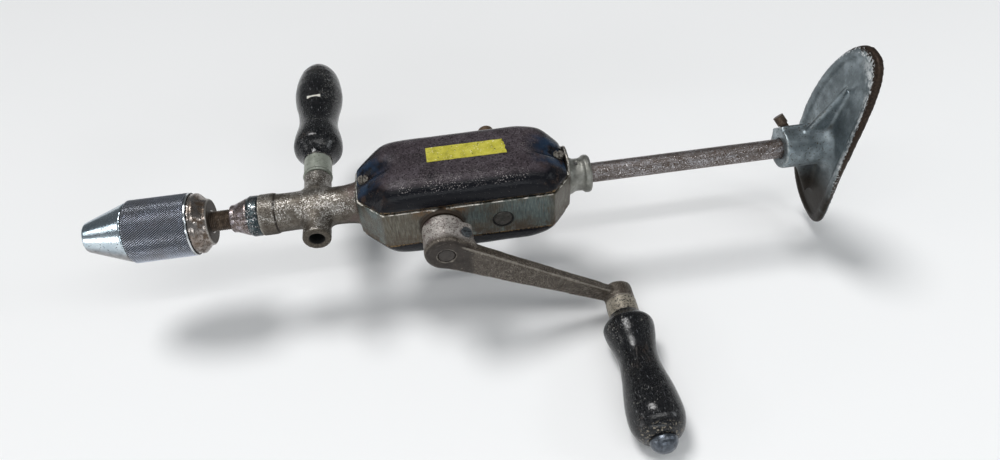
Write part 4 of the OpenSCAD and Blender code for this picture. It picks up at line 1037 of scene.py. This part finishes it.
def cover_share(points):
    """The covers are crisp along the seam and softly rounded away from it."""
    least, more = 0.06, 0.44
    crisp_up_to, fade = BAND_HALF_H + 0.5, 7
    return least + more * rise(np.abs(points[:, 2]), crisp_up_to, crisp_up_to + fade)


def plate_share(points):
    """The ribs of the plate run out smoothly at their ends."""
    least, more = 0.16, 0.34
    side_reach, end_reach = 6, 12
    back_skin, fade = 3, 2
    rib_end = bell(points[:, 1], 0, side_reach) * bell(np.abs(points[:, 2]), RIB_END, end_reach)
    front_side = rise(points[:, 0], PLATE_X1 - back_skin, PLATE_X1 - back_skin - fade)
    return least + more * rib_end * front_side


def plate_marks(mesh):
    """Marks the raised rim of the breast plate and its outer edge, by shares of the way to the edge."""
    points = points_of(mesh) / MM
    across = np.abs(points[:, 1]) / PLATE_HALF_W
    along = np.abs(points[:, 2]) / PLATE_HALF_LEN
    level = (across ** PLATE_POWER + along ** PLATE_POWER) ** (1 / PLATE_POWER)
    set_attribute(mesh, "rim", rise(level, 0.8, 0.86) * rise(level, 0.99, 0.96))
    set_attribute(mesh, "outer", rise(level, 0.9, 0.99))


# Castings and turned pieces

paint = cover_finish()
crank_paint = wood_finish("crank_grip_paint", ring=GRIP_Y1 - GRIP_RING_AT, bare_end=GRIP_Y0)
handle_paint = wood_finish("side_grip_paint", chip=WHITE_CHIP)
rusty = rusty_finish()

dressed("frame_casting", casting_finish(), voxel=0.8, passes=80, ripple=(5.0, 0.12), share_at=nose_share)
for cover in ("top_cover", "bottom_cover"):
    dressed(cover, paint, voxel=0.9, passes=60, ripple=(14.0, 0.2), share_at=cover_share)
dressed("crank_arm", crank_finish(), voxel=0.7, passes=6, ripple=(4.0, 0.15))
dressed("breast_plate", plate_finish(), voxel=0.8, passes=40, ripple=(8.0, 0.12), share_at=plate_share,
        marks=plate_marks)
dressed("crank_grip", crank_paint, voxel=0.7, passes=4, ripple=(9.0, 0.2))
dressed("side_handle_grip", handle_paint, voxel=0.7, passes=4, ripple=(9.0, 0.2))
dressed("chuck_body", chuck_finish(), voxel=0.55, passes=2)
knurled_sleeve(knurl_finish())
threaded_spindle(rusty)
crank_shaft_piece(plain_finish("dark_shaft", "2c2825", "4a4541", 0.6, 0.45))
low_shaft_piece(shaft_finish())
label_piece(label_finish())


# Solids that stay as they are, with their finishes

def finish_nodes(material, *nodes):
    for node in nodes:
        frame["nodes"][node].data.materials.clear()
        frame["nodes"][node].data.materials.append(material)


finish_nodes(bearing_finish("bearing_cone_steel", "4c413b", "766a66", "a49ca3"), "bearing_cone")
finish_nodes(bearing_finish("bearing_ring_steel", "1f2628", "364043", "5b6567"), "bearing_ring")
finish_nodes(tube_finish(), "breast_tube")
finish_nodes(ferrule_finish(), "side_handle_ferrule")
finish_nodes(plain_finish("ferrule_brass", "7d7568", "b0a99b", 0.45, 0.42, 0.55), "crank_grip_ferrule")
finish_nodes(plain_finish("cap_steel", "3d4148", "6f757d", 0.9, 0.3), "grip_end_cap")
finish_nodes(plain_finish("screw_steel", "57534d", "948f86", 0.7, 0.45, 0.52), "cover_screws")
finish_nodes(plain_finish("set_screw_steel", "4a4f53", "70767a", 0.7, 0.38, 0.6), "crank_set_screw")
finish_nodes(rusty, "plate_set_screw")
finish_nodes(plain_finish("bright_steel", "9a9ca0", "c2c4c8", 1.0, 0.25),
             "bearing_balls", "chuck_jaw_1", "chuck_jaw_2", "chuck_jaw_3")
finish_nodes(plain_finish("bronze", "56462d", "836a43", 0.8, 0.42, 0.55),
             "front_bush", "rear_bush", "crank_bush_near", "crank_bush_far")
finish_nodes(plain_finish("gear_iron", "3a3a3a", "5c5b59", 0.85, 0.45),
             "main_gear", "low_speed_pinion", "spindle_pinion")
finish_nodes(plain_finish("plain_steel", "5c5a58", "8a8988", 0.9, 0.4),
             "side_handle_stud", "tube_pin", "gear_pin", "crank_collar", "crank_washer", "grip_pin",
             "low_pinion_pin", "low_shaft_collar", "pinion_pin", "thrust_washer", "chuck_nut")


# Floor, light and camera

def make_floor():
    """A plain pale floor just below the part."""
    mesh = bpy.data.meshes.new("floor")
    half, height = FLOOR_SIZE / 2 * MM, cad_low.z - FLOOR_DROP * MM
    corners = [(-half, -half, height), (half, -half, height), (half, half, height), (-half, half, height)]
    mesh.from_pydata(corners, [], [(0, 1, 2, 3)])
    material = bpy.data.materials.new("pale_floor")
    material.use_nodes = True
    shader = material.node_tree.nodes["Principled BSDF"]
    shader.inputs["Base Color"].default_value = FLOOR_COLOR
    shader.inputs["Roughness"].default_value = FLOOR_ROUGH
    mesh.materials.append(material)
    placed("floor", mesh)


def make_world():
    """A grey room, paler towards the front and darker overhead and behind."""
    world = bpy.data.worlds.new("studio")
    bpy.context.scene.world = world
    world.use_nodes = True
    tree = world.node_tree
    background = tree.nodes["Background"]
    coords = tree.nodes.new("ShaderNodeTexCoord")
    parts = tree.nodes.new("ShaderNodeSeparateXYZ")
    tree.links.new(coords.outputs["Generated"], parts.inputs[0])

    def fade(axis, start, end, first, last):
        """A strength that goes from first to last between two places along an axis of the view."""
        made = tree.nodes.new("ShaderNodeMapRange")
        tree.links.new(parts.outputs[axis], made.inputs["Value"])
        for name, value in (("From Min", start), ("From Max", end), ("To Min", first), ("To Max", last)):
            made.inputs[name].default_value = value
        return made.outputs[0]

    product = tree.nodes.new("ShaderNodeMath")
    product.operation = "MULTIPLY"
    tree.links.new(fade(1, -0.8, 0.5, ROOM_FRONT, ROOM_BACK), product.inputs[0])
    tree.links.new(fade(2, 0.0, 0.8, 1.0, ROOM_OVERHEAD), product.inputs[1])
    background.inputs["Color"].default_value = ROOM_COLOR
    tree.links.new(product.outputs[0], background.inputs["Strength"])


def direction(azimuth, height):
    """Towards a lamp, from degrees round the part and degrees above the floor."""
    turn, lift = math.radians(azimuth), math.radians(height)
    return Vector((math.sin(turn) * math.cos(lift), -math.cos(turn) * math.cos(lift), math.sin(lift)))


def aim(lamp, back):
    """Turns a lamp to shine from the direction in which it stands."""
    lamp.rotation_mode = "QUATERNION"
    lamp.rotation_quaternion = (-back).to_track_quat("-Z", "Y")


def make_sun(strength, spread, azimuth, height):
    """A sun that shines from a direction, softened by its spread in degrees."""
    light = bpy.data.lights.new("sun", "SUN")
    light.energy = strength
    light.angle = math.radians(spread)
    aim(placed("sun", light), direction(azimuth, height))


def make_light(name, middle, away, azimuth, height, size, power, color):
    """A soft box that looks at a middle point from a direction, away metres from it."""
    light = bpy.data.lights.new(name, "AREA")
    light.shape = "RECTANGLE"
    light.size, light.size_y = size
    light.energy = power
    light.color = color
    lamp = placed(name, light)
    back = direction(azimuth, height)
    lamp.location = Vector(middle) * MM + back * away
    aim(lamp, back)


def make_camera():
    """The photograph's camera."""
    camera = placed("camera", bpy.data.cameras.new("camera"))
    camera.location = Vector(CAMERA_AT) * MM
    look = (Vector(CAMERA_AIM) - Vector(CAMERA_AT)).normalized()
    roll = Quaternion((0, 0, 1), math.radians(CAMERA_ROLL))
    camera.rotation_mode = "QUATERNION"
    camera.rotation_quaternion = look.to_track_quat("-Z", "Y") @ roll
    camera.data.lens = CAMERA_LENS
    camera.data.sensor_width = CAMERA_SENSOR_W
    camera.data.clip_start = CAMERA_CLIP * MM
    bpy.context.scene.camera = camera


make_floor()
make_world()
make_light("strip", DRILL_MIDDLE, away=1.3, azimuth=0, height=68, size=(1.8, 0.1), power=4.5, color=WHITE)
make_light("window", DRILL_MIDDLE, away=1.4, azimuth=-8, height=21, size=(1.8, 0.22), power=4.5, color=COOL)
make_light("right", DRILL_MIDDLE, away=1.4, azimuth=77, height=25, size=(0.2, 0.2), power=1.4, color=COOLER)
make_light("left_thin", CHUCK_MIDDLE, away=1.2, azimuth=-86, height=31, size=(0.4, 0.09), power=0.8,
           color=WHITE)
make_light("left_broad", CHUCK_MIDDLE, away=1.2, azimuth=-64, height=6, size=(0.34, 0.24), power=1.3,
           color=WHITE)
make_sun(strength=1.7, spread=20, azimuth=-132, height=68)
make_camera()
bpy.context.scene.view_settings.view_transform = "Standard"
